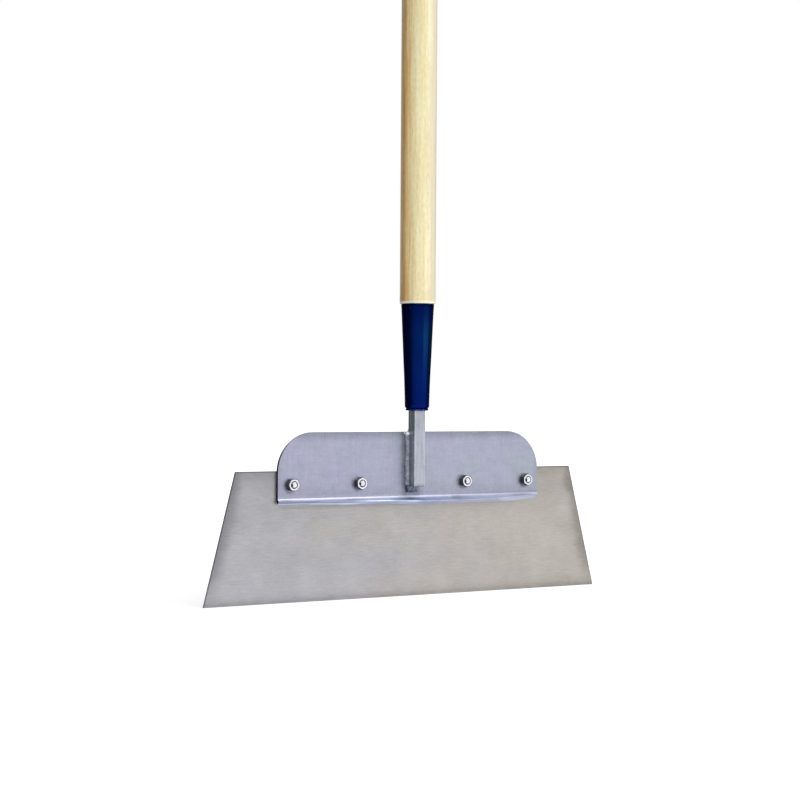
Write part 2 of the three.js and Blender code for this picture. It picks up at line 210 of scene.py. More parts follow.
# ---------------------------------------------------------------- material helpers
class Mat:
    def __init__(self, name):
        self.m = bpy.data.materials.new(name)
        self.m.use_nodes = True
        self.t = self.m.node_tree
        self.t.nodes.clear()
        self.out = self.t.nodes.new("ShaderNodeOutputMaterial")
        self.p = self.t.nodes.new("ShaderNodeBsdfPrincipled")
        self.t.links.new(self.p.outputs[0], self.out.inputs[0])
        tc = self.t.nodes.new("ShaderNodeTexCoord")
        self.obj = tc.outputs["Object"]
        self.normal = tc.outputs["Normal"]
        s = self.t.nodes.new("ShaderNodeSeparateXYZ")
        self.t.links.new(self.obj, s.inputs[0])
        self.x, self.y, self.z = s.outputs

    def put(self, sock, v):
        if isinstance(v, bpy.types.NodeSocket):
            self.t.links.new(v, sock)
        elif isinstance(v, (tuple, list)) and len(v) == 3 and sock.type == "RGBA":
            sock.default_value = (*v, 1.0)
        else:
            sock.default_value = v

    def set(self, **kw):
        for k, v in kw.items():
            self.put(self.p.inputs[k.replace("_", " ")], v)
        return self

    def math(self, op, a, b=None, c=None, clamp=False):
        n = self.t.nodes.new("ShaderNodeMath")
        n.operation, n.use_clamp = op, clamp
        for i, v in enumerate((a, b, c)):
            if v is not None:
                self.put(n.inputs[i], v)
        return n.outputs[0]

    def add(self, a, b): return self.math("ADD", a, b)
    def sub(self, a, b): return self.math("SUBTRACT", a, b)
    def mul(self, a, b): return self.math("MULTIPLY", a, b)

    def vec(self, x, y, z):
        n = self.t.nodes.new("ShaderNodeCombineXYZ")
        for i, v in enumerate((x, y, z)):
            self.put(n.inputs[i], v)
        return n.outputs[0]

    def vmath(self, op, a, b=None):
        n = self.t.nodes.new("ShaderNodeVectorMath")
        n.operation = op
        self.put(n.inputs[0], a)
        if b is not None:
            self.put(n.inputs[1], b)
        return n.outputs["Value"] if op in ("LENGTH", "DOT_PRODUCT", "DISTANCE") else n.outputs[0]

    def scaled(self, sx, sy, sz, offset=(0.0, 0.0, 0.0), source=None):
        n = self.t.nodes.new("ShaderNodeMapping")
        self.put(n.inputs[0], source or self.obj)
        n.inputs["Scale"].default_value = (sx, sy, sz)
        n.inputs["Location"].default_value = offset
        return n.outputs[0]

    def noise(self, vec, scale=1.0, detail=3.0, rough=0.55, distort=0.0):
        n = self.t.nodes.new("ShaderNodeTexNoise")
        self.put(n.inputs["Vector"], vec)
        n.inputs["Scale"].default_value = scale
        n.inputs["Detail"].default_value = detail
        n.inputs["Roughness"].default_value = rough
        n.inputs["Distortion"].default_value = distort
        return n.outputs[0]

    def voronoi(self, vec, scale=1.0, feature="F1", randomness=1.0):
        n = self.t.nodes.new("ShaderNodeTexVoronoi")
        n.feature = feature
        self.put(n.inputs["Vector"], vec)
        n.inputs["Scale"].default_value = scale
        n.inputs["Randomness"].default_value = randomness
        return n.outputs["Distance"]

    def span(self, v, lo, hi, to_lo=0.0, to_hi=1.0, smooth=False):
        n = self.t.nodes.new("ShaderNodeMapRange")
        n.interpolation_type = "SMOOTHSTEP" if smooth else "LINEAR"
        n.clamp = True
        self.put(n.inputs["Value"], v)
        for k, q in (("From Min", lo), ("From Max", hi), ("To Min", to_lo), ("To Max", to_hi)):
            self.put(n.inputs[k], q)
        return n.outputs[0]

    def ramp(self, v, stops, interp="LINEAR"):
        n = self.t.nodes.new("ShaderNodeValToRGB")
        self.put(n.inputs[0], v)
        cr = n.color_ramp
        cr.interpolation = interp
        while len(cr.elements) < len(stops):
            cr.elements.new(0.5)
        for e, (pos, col) in zip(cr.elements, stops):
            e.position = pos
            e.color = (*col, 1.0) if len(col) == 3 else col
        return n.outputs[0]

    def mix(self, f, a, b, blend="MIX"):
        n = self.t.nodes.new("ShaderNodeMix")
        n.data_type, n.blend_type = "RGBA", blend
        n.clamp_factor = True
        self.put(n.inputs[0], f)
        self.put(n.inputs[6], a)
        self.put(n.inputs[7], b)
        return n.outputs[2]

    def grey(self, v):
        """A grey colour of that value, to multiply with."""
        n = self.t.nodes.new("ShaderNodeCombineColor")
        for i in range(3):
            self.put(n.inputs[i], v)
        return n.outputs[0]

    def bump(self, height, distance, strength=1.0, normal=None):
        n = self.t.nodes.new("ShaderNodeBump")
        n.inputs["Strength"].default_value = strength
        n.inputs["Distance"].default_value = distance
        self.put(n.inputs["Height"], height)
        if normal is not None:
            self.put(n.inputs["Normal"], normal)
        return n.outputs[0]

    def geo(self, name):
        n = self.t.nodes.new("ShaderNodeNewGeometry")
        return n.outputs[name]


def srgb(r, g, b):
    def f(c):
        c /= 255.0
        return c / 12.92 if c <= 0.04045 else ((c + 0.055) / 1.055) ** 2.4
    return (f(r), f(g), f(b))


# ---------------------------------------------------------------- materials
def blade_material():
    m = Mat("brushed_blade_steel")
    # fine rolled and brushed lines that run along the blade
    long_lines = m.noise(m.scaled(34, 1, 560), 1.0, 4.0, 0.66)
    fine_lines = m.noise(m.scaled(120, 1, 2100), 1.0, 3.0, 0.6)
    speck = m.noise(m.scaled(620, 1, 700, (6, 0, 2)), 1.0, 3.0, 0.6)
    dash = m.noise(m.scaled(95, 1, 780, (2, 0, 9)), 1.0, 3.0, 0.6)
    cloud = m.noise(m.scaled(9, 1, 14, (3.1, 0, 1.7)), 1.0, 4.0, 0.6)
    blotch = m.noise(m.scaled(26, 1, 34, (7.3, 0, 5.1)), 1.0, 5.0, 0.65)
    # cooler to the left, a warmer oil tint in the middle right
    warm = m.span(m.add(m.mul(m.x, 2.8), m.span(cloud, 0.35, 0.7, -0.22, 0.36)), -0.50, 0.55, 0, 1, True)
    base = m.mix(warm, (0.505, 0.500, 0.525), (0.560, 0.520, 0.478))
    # distance in from the outline, for the darker rim left by rolling oil and shearing
    slope = (BLADE_HALF - BLADE_TOP_HALF) / BLADE_H
    side = m.sub(m.sub(BLADE_HALF, m.mul(m.z, slope)), m.math("ABSOLUTE", m.x))
    side = m.add(side, m.mul(m.sub(blotch, 0.5), 0.012))
    top = m.add(m.sub(BLADE_HI.z, m.z), m.mul(m.sub(cloud, 0.5), 0.014))
    rim = m.math("MAXIMUM", m.span(side, 0.0, 0.017, 1, 0, True), m.mul(m.span(top, 0.0, 0.016, 1, 0, True), 0.55))
    low = m.span(m.z, 0.0, 0.035, 0.20, 1, True)
    rim = m.mul(rim, low)
    tone = m.add(m.add(m.span(long_lines, 0.3, 0.7, 0.945, 1.05), m.span(fine_lines, 0.3, 0.7, -0.035, 0.035)),
                 m.add(m.span(blotch, 0.3, 0.75, -0.105, 0.095), m.span(speck, 0.3, 0.7, -0.070, 0.070)))
    tone = m.add(tone, m.span(dash, 0.32, 0.68, -0.060, 0.055))
    tone = m.mul(tone, m.span(rim, 0, 1, 1.0, 0.63))
    # the upper part, handled less, is a little duller
    tone = m.mul(tone, m.span(m.z, 0.050, 0.122, 0.985, 0.86, True))
    # oil lies along the upper edge and the cut ends
    line = m.math("MAXIMUM", m.span(m.sub(BLADE_HI.z, m.z), 0.0005, 0.0016, 1, 0, True),
                  m.span(m.sub(m.sub(BLADE_HALF, m.mul(m.z, slope)), m.math("ABSOLUTE", m.x)), 0.0004, 0.0014, 0.8, 0, True))
    tone = m.mul(tone, m.sub(1.0, m.mul(line, 0.50)))
    # painted reflection of the pale floor: paler towards the scraping edge, most of all at the left
    pale = m.mul(m.span(m.z, 0.002, 0.050, 1, 0, True), m.span(m.x, -0.23, 0.10, 0.13, 0.03, True))
    tone = m.mul(tone, m.add(1.0, pale))
    # painted shadow: a darker line on the blade's front just under the lip, strongest at the left
    underlip_shadow = m.mul(m.span(m.math("ABSOLUTE", m.sub(m.z, PLATE_LO.z - 0.0006)), 0.0006, 0.0028, 1, 0, True),
                 m.span(m.math("ABSOLUTE", m.x), PLATE_HALF - 0.006, PLATE_HALF + 0.002, 1, 0, True))
    underlip_shadow = m.mul(underlip_shadow, m.span(m.y, -0.0006, 0.0, 1, 0))
    tone = m.mul(tone, m.sub(1.0, m.mul(underlip_shadow, m.span(m.x, -0.12, 0.05, 0.14, 0.0, True))))
    # a bright, freshly cut line along the scraping edge and small nicks in it
    nick = m.noise(m.scaled(320, 1, 160), 1.0, 3.0, 0.7)
    edge = m.span(m.add(m.z, m.mul(m.sub(nick, 0.5), 0.0016)), 0.0004, 0.0017, 1, 0, True)
    base = m.mix(m.mul(edge, 0.55), base, (0.74, 0.74, 0.75))
    col = m.mix(1.0, base, m.grey(tone), "MULTIPLY")
    rough = m.add(m.span(long_lines, 0.25, 0.75, 0.33, 0.43), m.span(blotch, 0.3, 0.7, -0.03, 0.05))
    rough = m.add(rough, m.mul(rim, 0.07))
    h = m.add(m.mul(long_lines, 0.6), m.mul(fine_lines, 0.4))
    n = m.bump(h, 0.00003, 0.5)
    n = m.bump(cloud, 0.0006, 0.14, n)
    m.set(Base_Color=col, Metallic=1.0, Roughness=rough, Normal=n, Anisotropic=0.45, Tangent=(0.0, 0.0, 1.0))
    return m.m


def plate_material():
    m = Mat("mill_finish_plate")
    across = m.noise(m.scaled(46, 60, 620), 1.0, 4.0, 0.66)
    upright = m.noise(m.scaled(420, 60, 34, (4.4, 0, 2.2)), 1.0, 4.0, 0.62)
    cloud = m.noise(m.scaled(16, 16, 22, (1.1, 0, 8.2)), 1.0, 4.0, 0.6)
    mottle = m.noise(m.scaled(90, 90, 110), 1.0, 5.0, 0.7)
    tint = m.span(m.add(cloud, m.mul(m.x, -0.7)), 0.3, 0.72, 0, 1, True)
    base = m.mix(tint, (0.415, 0.440, 0.520), (0.430, 0.426, 0.565))
    top = m.span(m.sub(PLATE_HI.z, m.z), 0.0, 0.011, 1, 0, True)
    out = m.span(m.sub(PLATE_HALF, m.math("ABSOLUTE", m.x)), 0.0, 0.009, 1, 0, True)
    low = m.span(m.z, LIP_START + 0.001, LIP_START + 0.016, 1, 0, True)
    dark = m.math("MAXIMUM", m.math("MAXIMUM", m.mul(top, 0.30), m.mul(out, 0.10)), m.mul(low, 0.10))
    speck = m.noise(m.scaled(640, 640, 640, (6, 4, 2)), 1.0, 3.0, 0.6)
    tone = m.add(m.add(m.span(across, 0.3, 0.7, 0.955, 1.04), m.span(upright, 0.3, 0.7, -0.040, 0.040)),
                 m.add(m.span(mottle, 0.3, 0.7, -0.060, 0.060), m.span(speck, 0.3, 0.7, -0.065, 0.065)))
    tone = m.mul(tone, m.sub(1.0, dark))
    # heat tint beside the weld beads, with the bar's shadow on the plate painted into the same darker band
    def from_box(x_lo, x_hi, z_lo):
        ex = m.math("MAXIMUM", m.math("MAXIMUM", m.sub(x_lo, m.x), m.sub(m.x, x_hi)), 0.0)
        ez = m.math("MAXIMUM", m.sub(z_lo, m.z), 0.0)
        return m.math("SQRT", m.add(m.mul(ex, ex), m.mul(ez, ez)))

    d = m.math("MINIMUM", from_box(-BAR / 2 - 0.0026, TOE_HI.x, BAR_LO.z - 0.0055),
               m.add(from_box(-BAR / 2 - 0.0026, BAR / 2 + 0.0026, BAR_LO.z), 0.0030))
    d = m.add(d, m.mul(m.sub(mottle, 0.5), 0.0042))
    d = m.add(d, m.mul(m.sub(speck, 0.5), 0.0034))
    heat_tint_and_shade = m.ramp(m.span(d, 0.0, 0.014), [
        (0.0, (0.22, 0.24, 0.26)), (0.035, (0.34, 0.36, 0.38)), (0.09, (0.62, 0.63, 0.65)), (0.25, (0.66, 0.66, 0.68)),
        (0.38, (0.88, 0.88, 0.88)), (0.56, (0.95, 0.96, 0.98)), (0.85, (1.0, 1.0, 1.0))])
    col = m.mix(m.span(m.sub(m.y, PLATE_FRONT), 0.0006, 0.0022, 1.0, 0.42, True), m.mix(1.0, base, m.grey(tone), "MULTIPLY"), heat_tint_and_shade, "MULTIPLY")
    # painted shadow round each nut, most of it to the lower left
    ring = None
    for bolt in BOLTS:
        bx, bz = bolt_place(bolt)
        ex, ez = m.sub(m.x, bx - 0.0016), m.sub(m.z, bz - 0.0022)
        one = m.math("SQRT", m.add(m.mul(ex, ex), m.mul(ez, ez)))
        ring = one if ring is None else m.math("MINIMUM", ring, one)
    ring = m.add(ring, m.mul(m.sub(mottle, 0.5), 0.003))
    nut_shadow = m.mul(m.span(ring, 0.0050, 0.0072, 0.46, 0, True), m.span(m.math("ABSOLUTE", m.sub(m.y, PLATE_FRONT)), 0, 0.0005, 1, 0))
    col = m.mix(nut_shadow, col, (0.12, 0.12, 0.15))
    # darker marks at three places on the bend, and a painted highlight on the lip's outer edge
    bend_marks = 0.0
    for sx, half, k in ((0.0505, 0.0070, 0.42), (0.132, 0.017, 0.30), (-0.005, 0.0050, 0.30)):
        one = m.span(m.math("ABSOLUTE", m.sub(m.x, sx)), half * 0.55, half, k, 0.0, True)
        bend_marks = one if isinstance(bend_marks, float) else m.math("MAXIMUM", bend_marks, one)
    on_bend = m.span(m.math("ABSOLUTE", m.sub(m.z, LIP_START - 0.0030)), 0.0008, 0.0024, 1, 0, True)
    bend_marks = m.mul(m.mul(bend_marks, on_bend), m.span(mottle, 0.3, 0.55, 0.5, 1.0))
    col = m.mix(bend_marks, col, (0.10, 0.10, 0.14))
    # the lip's cut edge, which is set back towards the ends: painted highlights along its corners, and the cut face
    # between them darker on the left and paler on the right
    stops = [(d / 400.0, (q / 8.0,) * 3) for d, q in LIP_BACK_LEFT]
    width = 2 * PLATE_HALF / MM
    stops += [((width - d) / 400.0, (q / 8.0,) * 3) for d, q in LIP_BACK_RIGHT[::-1]]
    back = m.mul(m.ramp(m.span(m.x, -PLATE_HALF, -PLATE_HALF + 0.4), stops), 0.008)
    from_tip = m.sub(m.sub(m.y, LIP_TIP_Y), m.math("MINIMUM", back, 0.0054))
    low_z = m.add(LIP_LOW_Z, m.mul(m.math("MAXIMUM", m.sub(back, 0.0015), 0.0), 0.53))
    above = m.sub(m.z, low_z)
    cut_face = m.mul(m.span(from_tip, 0.0012, 0.0019, 1, 0, True), m.span(above, 0.0022, 0.0028, 1, 0, True))
    col = m.mix(m.mul(cut_face, m.span(m.x, -0.10, 0.02, 0.32, 0.0, True)), col, (0.20, 0.21, 0.24))
    col = m.mix(m.mul(cut_face, m.span(m.x, -0.05, 0.08, 0.0, 0.35, True)), col, (0.78, 0.80, 0.86))
    tip_highlight = m.mul(m.span(from_tip, 0.0004, 0.0015, 1, 0, True), m.span(above, 0.0022, 0.0028, 0, 1, True))
    tip_highlight = m.mul(tip_highlight, m.span(mottle, 0.32, 0.6, 0.45, 0.95))
    tip_highlight = m.mul(tip_highlight, m.mul(m.span(m.x, -0.02, 0.15, 1.0, 0.45, True), m.span(m.x, -0.080, -0.040, 0.10, 1.0, True)))
    foot_highlight = m.mul(m.span(above, 0.0002, 0.0009, 1, 0, True), m.span(m.x, -0.080, -0.045, 0.85, 0.10, True))
    foot_highlight = m.mul(foot_highlight, m.span(m.z, LIP_START - 0.0030, LIP_START - 0.0020, 1, 0, True))
    col = m.mix(m.math("MAXIMUM", tip_highlight, foot_highlight), col, (0.80, 0.82, 0.90))
    # the lip is bluer and lighter than the plate, with a painted highlight where the bend runs into it
    lip = m.span(m.z, LIP_START - 0.0030, LIP_START - 0.0014, 1, 0, True)
    col = m.mix(lip, col, m.mix(1.0, col, (0.97, 1.03, 1.13), "MULTIPLY"))
    bend_highlight = m.span(m.math("ABSOLUTE", m.sub(m.z, LIP_START - 0.0021)), 0.0004, 0.0012, 1, 0, True)
    bend_highlight = m.mul(bend_highlight, m.mul(m.span(m.x, 0.02, 0.12, 0.34, 0.20, True), m.span(mottle, 0.32, 0.6, 0.6, 1.0)))
    col = m.mix(bend_highlight, col, (0.76, 0.80, 0.94))
    # painted sheen: the lip lightened towards the right
    col = m.mix(m.mul(lip, m.span(m.x, 0.00, 0.11, 0.0, 0.34, True)), col, (0.77, 0.79, 0.86))
    # painted light and shade: the bend is brighter on the left and duller to the right
    bend_light = m.span(m.x, -0.02, 0.15, 1.08, 0.90, True)
    bend = m.span(m.z, LIP_START + 0.0005, LIP_START + 0.0022, 1, 0, True)
    col = m.mix(bend, col, m.mix(1.0, col, m.grey(bend_light), "MULTIPLY"))
    # painted shade: the sheared ends are painted near black, standing in for their shaded faces and the shadow beside
    # them
    nx = m.t.nodes.new("ShaderNodeSeparateXYZ")
    m.t.links.new(m.normal, nx.inputs[0])
    end = m.span(m.math("ABSOLUTE", nx.outputs[0]), 0.45, 0.80, 0, 1, True)
    end = m.mul(end, m.span(m.math("ABSOLUTE", m.x), PLATE_HALF - 0.012, PLATE_HALF - 0.009, 0, 1, True))
    end = m.mul(end, m.span(m.z, 0.132, 0.150, 1, 0.45, True))
    col = m.mix(end, col, (0.012, 0.012, 0.016))
    rough = m.add(m.span(across, 0.25, 0.75, 0.34, 0.42), m.span(mottle, 0.3, 0.7, -0.03, 0.05))
    rough = m.add(rough, m.mul(end, 0.25))
    rough = m.add(rough, m.span(m.z, LIP_START - 0.0030, LIP_START - 0.0010, 0.20, 0, True))
    rough = m.add(rough, m.mul(m.span(m.z, LIP_START + 0.0005, LIP_START + 0.0025, 1, 0, True), m.span(m.x, -0.10, 0.10, 0.0, 0.16, True)))
    # a painted glint of spatter at the head of the left weld
    spatter_glint = m.vmath("DISTANCE", m.obj, (-BAR / 2 - 0.0042, PLATE_FRONT, PLATE_HI.z - 0.0014))
    col = m.mix(m.span(spatter_glint, 0.0006, 0.0012, 0.9, 0, True), col, (0.95, 0.97, 1.0))
    rough = m.math("MAXIMUM", rough, m.span(d, 0.0, 0.006, 0.55, 0.30))
    h = m.add(m.add(m.mul(across, 0.35), m.mul(upright, 0.35)), m.mul(mottle, 0.3))
    n = m.bump(h, 0.00004, 0.5)
    n = m.bump(cloud, 0.0005, 0.10, n)
    m.set(Base_Color=col, Metallic=1.0, Roughness=rough, Normal=n, Anisotropic=0.25, Tangent=(0.0, 0.0, 1.0))
    return m.m


def bar_material():
    m = Mat("cold_drawn_bar")
    lines = m.noise(m.scaled(1500, 1500, 16), 1.0, 4.0, 0.6)
    mottle = m.noise(m.scaled(160, 160, 60), 1.0, 5.0, 0.68)
    drawn = m.noise(m.scaled(520, 520, 26, (3, 8, 1)), 1.0, 3.0, 0.6)
    fleck = m.noise(m.scaled(600, 600, 330, (5, 1, 4)), 1.0, 3.0, 0.6)
    base = m.mix(m.span(mottle, 0.3, 0.7), (0.462, 0.490, 0.562), (0.503, 0.527, 0.590))
    tone = m.add(m.span(lines, 0.3, 0.7, 0.93, 1.05), m.add(m.span(drawn, 0.34, 0.66, -0.085, 0.075), m.span(fleck, 0.34, 0.66, -0.060, 0.060)))
    # heat from welding darkens the buried side and the lower end
    near = m.span(m.sub(PLATE_FRONT, m.y), 0.001, 0.007, 1, 0, True)
    near = m.mul(near, m.span(m.z, PLATE_HI.z + 0.001, PLATE_HI.z + 0.007, 1, 0, True))
    foot = m.span(m.add(m.sub(m.z, BAR_LO.z), m.mul(m.sub(mottle, 0.5), 0.003)), 0.0, 0.004, 1, 0, True)
    tone = m.mul(tone, m.sub(1.0, m.math("MAXIMUM", m.mul(near, 0.30), m.mul(foot, 0.25))))
    neck = m.span(m.z, PLATE_HI.z - 0.002, PLATE_HI.z + 0.006, 1.0, 0.90, True)
    tone = m.mul(tone, neck)
    col = m.mix(1.0, base, m.grey(tone), "MULTIPLY")
    # painted light: the left side, turned away from the light, is lightened, more above the plate's edge than below it
    facing = m.t.nodes.new("ShaderNodeSeparateXYZ")
    m.t.links.new(m.normal, facing.inputs[0])
    side = m.span(facing.outputs[0], -0.5, -0.9, 0, 1, True)
    col = m.mix(side, col, m.mix(1.0, col, (1.06, 1.13, 1.02), "MULTIPLY"))
    clear = m.mul(side, m.span(m.z, PLATE_HI.z + 0.001, PLATE_HI.z + 0.008, 0, 1, True))
    col = m.mix(clear, col, m.mix(1.0, col, (1.08, 1.10, 1.12), "MULTIPLY"))
    # edges rubbed bright
    hw = BAR / 2
    ex = m.span(m.sub(hw, m.math("ABSOLUTE", m.x)), 0.0002, 0.0011, 1, 0, True)
    ey = m.span(m.sub(hw, m.math("ABSOLUTE", m.sub(m.y, AXIS_Y))), 0.0002, 0.0011, 1, 0, True)
    worn = m.mul(m.mul(ex, ey), m.span(mottle, 0.35, 0.6, 0.35, 0.9))
    col = m.mix(worn, col, (0.86, 0.87, 0.90))
    rough = m.add(m.span(lines, 0.25, 0.75, 0.25, 0.33), m.span(mottle, 0.3, 0.7, -0.02, 0.04))
    n = m.bump(lines, 0.00003, 0.55)
    n = m.bump(mottle, 0.00010, 0.12, n)
    m.set(Base_Color=col, Metallic=1.0, Roughness=rough, Normal=n)
    return m.m


def weld_material():
    m = Mat("weld_metal")
    a = m.noise(m.scaled(420, 420, 420), 1.0, 5.0, 0.7)
    b = m.noise(m.scaled(1500, 1500, 1500), 1.0, 3.0, 0.6)
    hue = m.noise(m.scaled(150, 150, 150, (3, 1, 5)), 1.0, 2.0, 0.5)
    col = m.ramp(hue, [(0.30, (0.23, 0.25, 0.30)), (0.48, (0.31, 0.33, 0.39)), (0.62, (0.26, 0.285, 0.33)), (0.74, (0.24, 0.26, 0.325))])
    # painted shade: the beads are darker at the bar's lower end, where they face downwards
    low = m.span(m.sub(m.z, BAR_LO.z), -0.0005, 0.004, 0.74, 1.0, True)
    col = m.mix(1.0, col, m.grey(m.mul(low, m.span(a, 0.3, 0.7, 0.45, 1.60))), "MULTIPLY")
    # painted glint on the run-out at the plate's upper edge
    cap_glint = m.mul(m.span(m.sub(m.z, PLATE_HI.z), -0.0038, -0.0022, 0, 1, True), m.span(a, 0.38, 0.50, 0.35, 1, True))
    col = m.mix(m.mul(cap_glint, 0.85), col, (0.93, 0.95, 0.98))
    m.set(Base_Color=col, Metallic=1.0, Roughness=m.span(b, 0.3, 0.7, 0.30, 0.52), Normal=m.bump(m.add(a, m.mul(b, 0.4)), 0.00018, 0.8))
    return m.m


def zinc_material():
    m = Mat("bright_zinc")
    a = m.noise(m.scaled(900, 900, 900), 1.0, 4.0, 0.6)
    b = m.noise(m.scaled(260, 260, 260, (2, 5, 3)), 1.0, 3.0, 0.6)
    scratch = m.noise(m.scaled(3200, 3200, 260, (1, 2, 3)), 1.0, 3.0, 0.6)
    bright = m.ramp(b, [(0.3, (0.90, 0.92, 0.99)), (0.55, (0.95, 0.96, 1.0)), (0.75, (0.86, 0.88, 0.95))])
    grime = m.span(m.add(a, b), 1.12, 1.35, 0, 0.35, True)
    bright = m.mix(grime, bright, (0.40, 0.40, 0.42))
    # painted shade: the flanks, chamfers and threads are painted near black; only the faces square to the axis keep
    # bright zinc
    sep = m.t.nodes.new("ShaderNodeSeparateXYZ")
    m.t.links.new(m.normal, sep.inputs[0])
    face = m.span(m.math("ABSOLUTE", sep.outputs[1]), 0.89, 0.975, 0, 1, True)
    flank_shade = m.mix(m.span(a, 0.3, 0.7), (0.050, 0.052, 0.062), (0.095, 0.098, 0.112))
    # the countersink is painted less dark than the flanks
    ring = None
    for bolt in BOLTS:
        bx, bz = bolt_place(bolt)
        ex, ez = m.sub(m.x, bx), m.sub(m.z, bz)
        one = m.math("SQRT", m.add(m.mul(ex, ex), m.mul(ez, ez)))
        ring = one if ring is None else m.math("MINIMUM", ring, one)
    gap = m.mul(m.span(m.sub(m.math("ABSOLUTE", ring), 0.0), 0.0020, 0.0026, 0, 1, True), m.span(ring, 0.0034, 0.0041, 1, 0, True))
    flank_shade = m.mix(gap, flank_shade, (0.40, 0.41, 0.45))
    # painted shadow: the countersink is blackest on the left of each bolt
    left = None
    for bolt in BOLTS:
        bx, bz = bolt_place(bolt)
        one = m.vmath("DISTANCE", m.vec(m.x, 0.0, m.z), (bx - 0.0031, 0.0, bz - 0.0003))
        left = one if left is None else m.math("MINIMUM", left, one)
    gap_shadow = m.mul(m.span(left, 0.0011, 0.0019, 1, 0, True), m.span(ring, 0.0036, 0.0042, 1, 0, True))
    col = m.mix(m.mul(gap_shadow, 0.92), m.mix(face, flank_shade, bright), (0.010, 0.010, 0.014))
    rough = m.add(m.span(a, 0.3, 0.7, 0.10, 0.18), m.span(scratch, 0.45, 0.75, 0.0, 0.08))
    rough = m.add(rough, m.mul(m.sub(1.0, face), 0.16))
    m.set(Base_Color=col, Metallic=1.0, Roughness=rough, Normal=m.bump(m.add(m.mul(a, 0.6), m.mul(scratch, 0.4)), 0.00002, 0.5))
    return m.m


def paint_material():
    m = Mat("navy_gloss_paint")
    peel = m.noise(m.scaled(330, 330, 240), 1.0, 2.0, 0.5)
    fine = m.noise(m.scaled(1400, 1400, 1400), 1.0, 3.0, 0.6)
    runs = m.noise(m.scaled(260, 260, 26, (4, 2, 1)), 1.0, 3.0, 0.55)
    tone = m.noise(m.scaled(60, 60, 30, (6, 1, 2)), 1.0, 3.0, 0.6)
    col = m.mix(m.span(tone, 0.3, 0.7), (0.0012, 0.0150, 0.118), (0.0019, 0.0220, 0.145))
    # painted highlight: the enamel goes from violet-blue to a greener blue where the sleeve faces the front right,
    # fading downwards
    d = m.vmath("DOT_PRODUCT", m.normal, (0.061, -0.998, 0.0))
    d = m.add(d, m.mul(m.sub(runs, 0.5), 0.018))
    teal_sheen = m.mul(m.span(d, 0.966, 0.990, 0, 1, True), m.span(m.z, FER_LO.z + 0.010, FER_HI.z - 0.030, 0.15, 1.0, True))
    col = m.mix(teal_sheen, col, (0.0062, 0.0500, 0.165))
    # painted shade: a darker, greener edge on the right where the sleeve turns away
    right_edge_shade = m.vmath("DOT_PRODUCT", m.normal, (0.78, -0.625, 0.0))
    col = m.mix(m.span(right_edge_shade, 0.84, 0.95, 0, 0.92, True), col, (0.0050, 0.0560, 0.062))
    deep = m.span(m.sub(m.z, FER_LO.z), 0.0, 0.075, 1, 0, True)
    col = m.mix(m.mul(deep, 0.70), col, (0.0018, 0.0100, 0.150))
    high = m.span(m.sub(FER_HI.z, m.z), 0.002, 0.034, 1, 0, True)
    col = m.mix(m.mul(high, 0.80), col, (0.0012, 0.0075, 0.095))
    # painted shade: darker on the left side, turned away from the light
    left_side_shade = m.vmath("DOT_PRODUCT", m.normal, (-0.985, 0.17, 0.0))
    col = m.mix(1.0, col, m.grey(m.span(left_side_shade, 0.70, 0.97, 1.0, 0.60, True)), "MULTIPLY")
    # rim wear: the paint is thin on the top and bottom rims, and a few specks show metal
    top = m.span(m.sub(FER_HI.z, m.z), 0.0, 0.0012, 1, 0, True)
    foot = m.span(m.sub(m.z, FER_LO.z), 0.0, 0.0014, 1, 0, True)
    chip = m.noise(m.scaled(700, 700, 700, (9, 3, 7)), 1.0, 4.0, 0.7)
    # painted shadow in the line where the wood meets the sleeve
    col = m.mix(m.mul(m.span(m.sub(FER_HI.z, m.z), 0.0005, 0.0035, 1, 0, True), 0.85), col, (0.0003, 0.001, 0.008))
    worn = m.mul(m.math("MAXIMUM", m.mul(top, 0.25), foot), m.span(chip, 0.52, 0.60, 0, 1, True))
    col = m.mix(worn, col, (0.42, 0.45, 0.50))
    scuff = m.span(m.noise(m.scaled(120, 120, 900, (2, 7, 4)), 1.0, 4.0, 0.7), 0.60, 0.78, 0, 0.12, True)
    rough = m.add(m.span(fine, 0.3, 0.7, 0.17, 0.22), scuff)
    h = m.add(m.mul(peel, 0.7), m.mul(runs, 0.3))
    m.set(Base_Color=col, Metallic=0.90, Roughness=rough, Normal=m.bump(h, 0.00006, 0.35),
          Specular_IOR_Level=0.15, Specular_Tint=(0.10, 0.14, 0.22))
    return m.m


